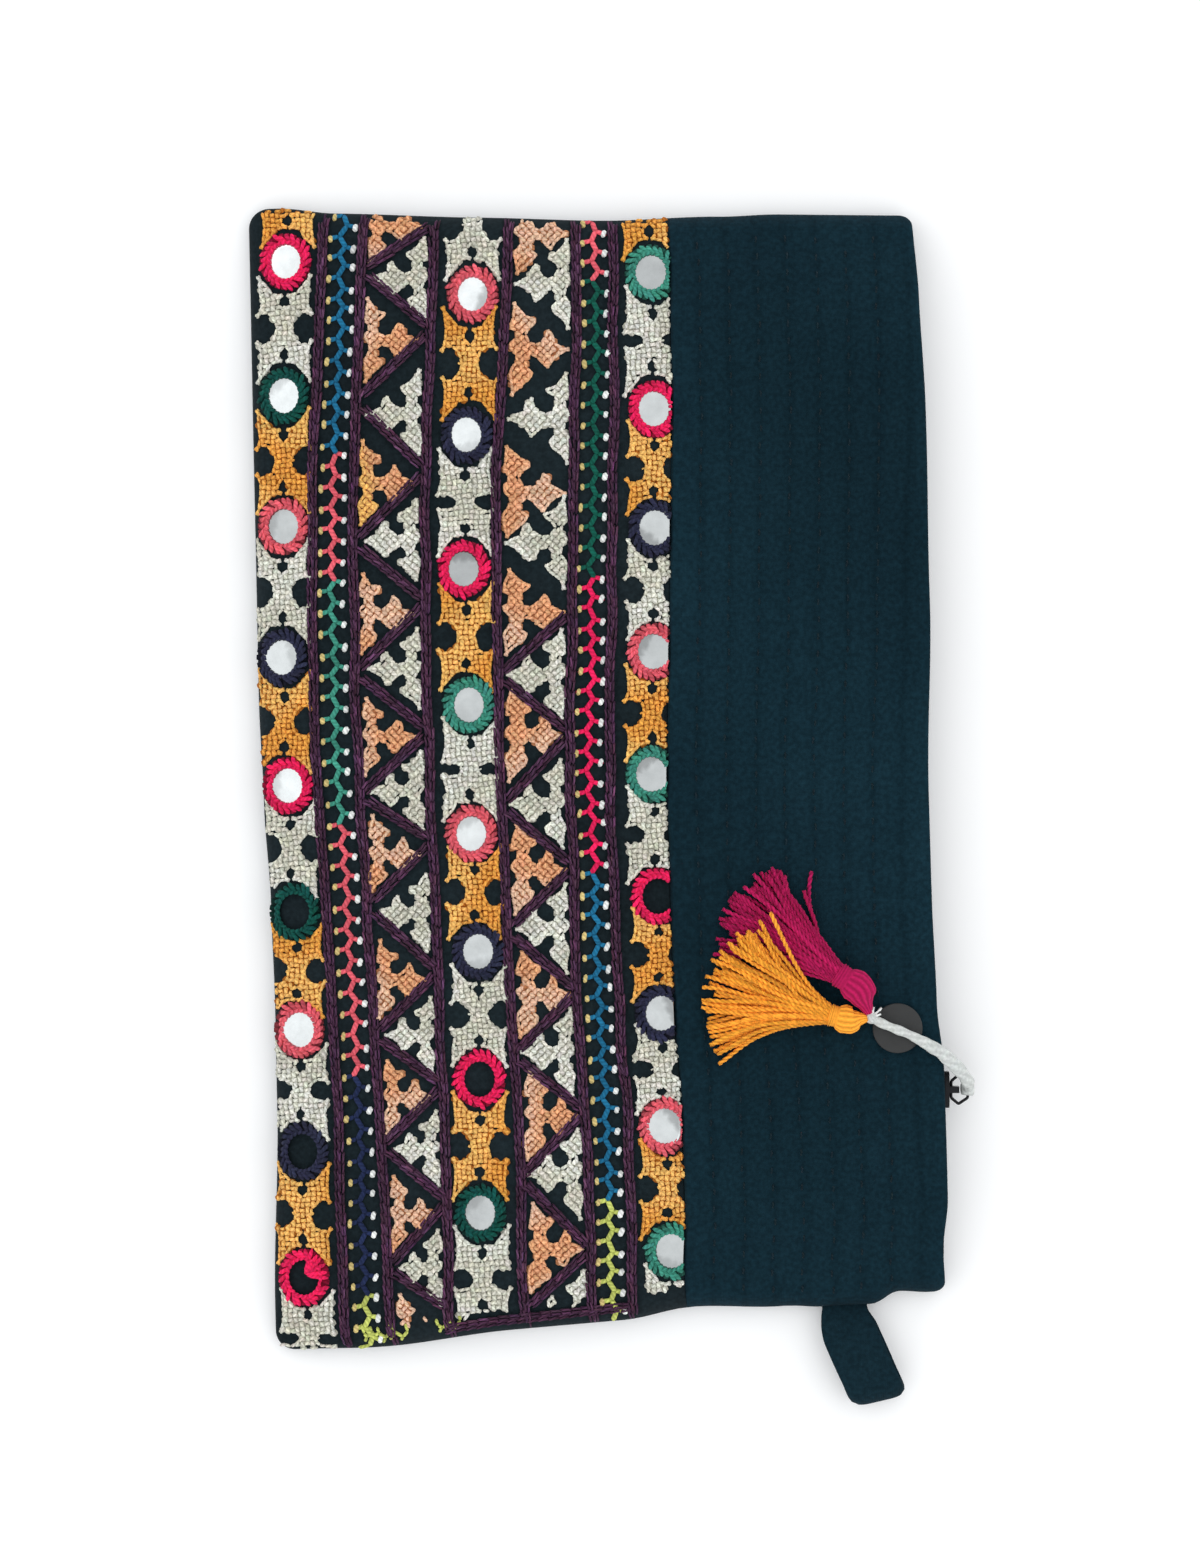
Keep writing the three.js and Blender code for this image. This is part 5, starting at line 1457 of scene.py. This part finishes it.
def makeTassel(name, row):
    centre, radius = fromFrame(row["head"]), row["radius"]
    forward = turnedTo(math.radians(row["heading"]))
    sideAxis = leftOf(forward)
    # head and neck: one surface, radius along the axis times 1 + ridges of wound thread
    tail = fromFrame(pullCord["knot"]) - centre
    rear = centre + tail * (1 - 1.0 / np.linalg.norm(tail))
    k, sides, deep = (tasselHead[part] for part in ("rings", "sides", "deep"))
    spine = curveThrough([rear, mix(rear, centre, 0.5), centre, centre + forward * radius * 1.55], k)
    t, angle = np.linspace(0, 1, k)[:, None], roundTurn(sides)
    bulge = np.interp(t, tasselHead["at"], tasselHead["bulge"])
    pastNeck = t - tasselHead["neckFrom"]
    neckRidges = np.where(pastNeck > 0, deep * np.cos(pastNeck * 2 * math.pi / tasselHead["neckPitch"]), 0)
    ridges = deep * np.cos(tasselHead["ridges"] * angle + 5 * t) * (pastNeck < 0)
    size = radius * (bulge * (1 + ridges) + neckRidges)
    ahead = unit(np.gradient(spine, axis=0))
    side = unit(np.cross((0, 0, 1.0), ahead))
    sideways = side[None, :, None] * (size * np.cos(angle))[..., None]
    upwards = np.cross(ahead, side)[None, :, None] * (size * np.sin(angle))[..., None]
    points, faces, wrap = tubeSet(spine[None], sideways, upwards, np.linspace(0, 16, k)[None])
    wrap[..., 0] = 0
    # painted shade in the hollows between the wound ridges and painted highlight on their crests
    shades = np.exp(5.5 * (ridges + neckRidges) - 0.1)[..., None] * dye(row["colour"]) * 0.95
    sets = [(points, faces, wrap, shades.reshape(-1, 3))]

    # skirt: threads that leave the neck together, fan out and come to rest on the band and each other
    n, k, sides = row["threads"], tasselThread["rings"], tasselThread["sides"]
    order = np.linspace(-0.5, 0.5, n)
    layer = (np.arange(n) * 7 % 5 / 4.0)[:, None]
    heading = row["heading"] + row["fan"] * (order + chance.normal(0, 0.055, n))
    reach = row["length"] * (1 - 0.25 * order**2) * chance.uniform(0.9, 1.04, n)
    for which, stray in enumerate(row["strays"], 1):
        heading[-which], reach[-which] = stray
    way = arrow(np.radians(heading))[:, None]
    s = np.linspace(0, 1, k)[None]
    neck = centre + forward * radius * 1.4
    spot = order * 2 * 0.62 * radius * chance.uniform(0.75, 1, n)
    rise = (layer - 0.5) * radius * 0.95 * np.sqrt(np.maximum(0.05, 1 - (order * 2) ** 2))[:, None]
    run = s * reach[:, None]
    curl = 1.15 * np.sin(s * chance.uniform(3, 7, (n, 1)) + chance.uniform(0, 6, (n, 1))) * s
    held = run * 0.38 * (1 - s)
    aside = spot[:, None] * (1 - 0.6 * s)
    plan = neck[:2] + sideAxis * aside[..., None] + forward[:2] * held[..., None]
    plan = plan + way * (run - held)[..., None] + leftOf(way) * curl[..., None]
    cloth = topAt(plan[..., 0], plan[..., 1]) + tasselThread["radius"]
    crossing = row["layerLift"] * smooth((162 - heading[:, None]) / 14) * smooth((s - 0.25) / 0.3)
    rest = cloth + 0.08 + layer * mix(2.4, 1.5, s) + crossing
    z = np.maximum(mix(neck[2] + rise, rest, smooth(s * 1.7)), cloth + 0.05)
    half = tasselThread["radius"] * (1 - 0.12 * smooth((s - 0.96) / 0.04))
    phase, lobes, twist = chance.uniform(0, 6.28, n), tasselThread["lobes"], tasselThread["twist"]
    paths = np.concatenate([plan, z[..., None]], -1)
    tubes = carried(paths, half, half, sides, lobes, twist, phase=phase)
    sets.append((*tubes, tinted(dye(row["colour"]), n, 0.1, k * sides)))
    return sewn(f"{name}Tassel", sets, tasselCotton, f"{name}_thread", [f"tassel_{name}"])


tasselPieces = [makeTassel(name, row) for name, row in tassels.items()]


# Charm: a thin disc with softened edges and a worn face
charm = {"centre": (0.0719, -0.05487, 0.0147), "radius": 6.2, "thickness": 0.8, "sides": 64, "lift": 0.3}


def makeCharm():
    r, h = charm["radius"], charm["thickness"]
    radii = (0.01, r - 0.2, r, r, r - 0.12, r - 0.3, r * 0.6, 0.01)
    heights = (0, 0, 0.2, h - 0.25, h - 0.08, h, h + 0.02, h + 0.03)
    ring = turnedTo(roundTurn(charm["sides"]))
    points = fromFrame(charm["centre"]) + ring * np.array(radii)[:, None, None]
    points[..., 2] += charm["lift"] + np.array(heights)[:, None]
    faces = tubeFaces(len(radii), charm["sides"])[0]
    return newPiece("charmDisc", points.reshape(-1, 3), faces, darkDisc, "dark_disc", replaced=["charm_disc"])


charmPiece = makeCharm()


# Puller: round wire bent to a six-sided frame
puller = {"near": 1.6, "far": 6.5, "bar": 4.6, "width": 8.0, "wire": 0.75, "sides": 12}


def makePuller():
    w, sides = puller["wire"] / 2, puller["sides"]
    near, far, knee = puller["near"] + w, puller["far"] - w, mix(puller["near"], puller["far"], 0.45)
    halfBar, halfWidth = puller["bar"] / 2 - w * 0.6, puller["width"] / 2 - w
    corners = np.array([(near, -halfBar), (knee, -halfWidth), (far, -halfBar)])
    corners = np.concatenate([corners, corners[::-1] * (1, -1)])
    path = []
    for k in range(6):  # each corner is a short curve between points on its two sides
        before, here, after = corners[k - 1], corners[k], corners[(k + 1) % 6]
        a, b = mix(here, before, 0.13), mix(here, after, 0.13)
        t = np.linspace(0, 1, 8)[:, None]
        path.append((1 - t) ** 2 * a + 2 * t * (1 - t) * here + t**2 * b)
    centre = fromFrame(pullCord["slider"]) + np.pad(np.concatenate(path), ((0, 0), (0, 1)))
    n, angle = len(centre), roundTurn(sides)[:, None]
    side = np.cross((0, 0, 1.0), unit(np.roll(centre, -1, 0) - np.roll(centre, 1, 0)))
    ring = centre[:, None] + side[:, None] * w * np.cos(angle) + np.array([0, 0, w]) * np.sin(angle)
    i, j = (q.ravel() for q in np.meshgrid(np.arange(n), np.arange(sides), indexing="ij"))
    here, ahead, beside = i * sides, (i + 1) % n * sides, (j + 1) % sides
    faces = np.stack([here + j, here + beside, ahead + beside, ahead + j], -1)
    newPiece("wirePuller", ring.reshape(-1, 3), faces, blackMetal, "black_metal", replaced=["zip_puller"])


makePuller()
for node, finish in (("zip_slider", blackMetal), ("zip_tape_upper", zipCloth), ("zip_tape_lower", zipCloth)):
    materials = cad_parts[node].data.materials
    materials.clear()
    materials.append(finish)


# Hanging loop: a strap folded in two, the two layers a little out of line
loop = {
    "fromZip": 24.5,
    "length": 26.7,
    "turn": 24.0,
    "tuck": 1.2,  # how far its ends run in between the two walls
    "lean": 0.05,
    "rootWidth": 11.4,
    "width": 14.0,
    "thickness": 1.3,
    "bulge": 10.0,
    "skew": 1.1,
}


def makeLoop():
    root = planPlace(1 - loop["fromZip"] / pouch["width"], 1.0)
    bendRadius, mid = loop["bulge"] / 2, loop["thickness"] / 2
    legs = loop["length"] - bendRadius
    # side view: low leg out, half circle, high leg back
    s = np.linspace(0, 1, 40)
    low = np.stack([s * legs, mix(pouch["seamHeight"] - mid, mid + 0.02, smooth(s / 0.5))], -1)
    bend = (legs, bendRadius) + arrow(np.linspace(-math.pi / 2, math.pi / 2, 30)[1:-1]) * (bendRadius - mid)
    ease = np.sin(s * math.pi / 2)
    high = np.stack([s * legs, mix(pouch["seamHeight"] + mid, loop["bulge"] - mid, ease)], -1)[::-1]
    side = np.concatenate([low, bend, high])
    w = np.linspace(-1, 1, 26)[None]
    share = clamp(side[:, :1] / loop["length"])
    # the far fold is longer on the zip's side and its corners are rounded back
    reach = share * (1 + loop["lean"] * w - 0.075 * np.abs(w) ** 6)
    # the middle line soon turns towards the zip: heading -90 + turn smooth(share / 0.35)
    fine = np.linspace(0, 1.2, 400)
    heading = np.radians(-90 + loop["turn"] * smooth(fine / 0.35))
    line = np.cumsum(arrow(heading), 0) * loop["length"] * fine[1] + root + (0, loop["tuck"])
    turn = np.interp(reach, fine, heading)
    half = mix(loop["rootWidth"], loop["width"], smooth(share / 0.35)) / 2
    layer = np.linspace(-1, 1, len(side))[:, None]  # -1 on the low leg, 1 on the high one
    offset = half * w * 0.97 - layer * loop["skew"] * share
    plan = pointsAt(reach, fine, line) + leftOf(arrow(turn)) * offset[..., None]
    z = side[:, 1:] + 0.18 * np.cos(w * 2.2) * np.sign(layer) * share * np.sin(share * 3)
    centre = np.concatenate([plan, z[..., None]], -1)
    normal = unit(np.cross(np.gradient(centre, axis=0), np.gradient(centre, axis=1)))
    edge = np.sqrt(np.maximum(0.12, 1 - np.abs(w) ** 14))
    seamRows = 1 - 0.25 * np.exp(-((np.abs(w) - 0.84) ** 2) / 0.0012)
    thick = normal * mid * (edge * seamRows)[..., None]
    floor = (-np.inf, -np.inf, 0.01)
    upper, lower = np.maximum(centre + thick, floor), np.maximum(centre - thick, floor)
    shell("hangingLoop", upper, lower, loopCotton, "teal_black_cotton", ["hanging_loop"])


makeLoop()


# Zip teeth along both rows
teeth = {"pitch": 1.5, "height": 2.0, "depth": 2.2, "length": 0.95, "back": 0.95}


def makeTeeth():
    sets = []
    for side, sign in (("upper", 1), ("lower", -1)):
        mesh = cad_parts[f"zip_tape_{side}"].data
        co = np.zeros(len(mesh.vertices) * 3)
        mesh.vertices.foreach_get("co", co)
        co = fromFrame(co.reshape(-1, 3))
        ys = np.unique(np.round(co[:, 1], 2))
        outer, inner, edgeX = [], [], []
        for y in ys:  # the bar's two heights at each row of the tape
            row = co[np.abs(co[:, 1] - y) < 0.02]
            heights = sign * row[row[:, 0] > row[:, 0].max() - 0.05][:, 2]
            outer.append(sign * heights.max())
            inner.append(sign * heights.min())
            edgeX.append(row[:, 0].max())
        y = np.arange(ys.min() + 1.5, ys.max() - 1.5, teeth["pitch"])
        y = y + (teeth["pitch"] / 2 if sign > 0 else 0)  # the two rows stand half a pitch apart
        away, near, x = (np.interp(y, ys, column)[:, None] for column in (outer, inner, edgeX))
        t, girth = np.array([0, 0.3, 0.75, 1.0]), np.array([0.8, 1.0, 1.0, 0.75])
        z = mix(away, near + np.sign(near - away) * 0.12, t)
        centre = np.stack([x - teeth["back"] + 0 * z, y[:, None] + 0 * z, z], -1)
        angle = roundTurn(8) + math.pi / 8
        square = 0.92 / np.maximum(np.abs(np.cos(angle)), np.abs(np.sin(angle)))
        half, lengths = (teeth["depth"] / 2, teeth["length"] / 2), teeth["height"] * t + 0 * z
        points, faces, wrap = capsules(centre, (1, 0, 0), (0, 1, 0), *half, angle, girth, lengths, square)
        if sign > 0:
            faces, wrap = faces[:, ::-1], wrap[:, ::-1]
        sets.append((points, faces, wrap, None))
    sewn("zipTeeth", sets, blackMetal, "black_metal")


makeTeeth()
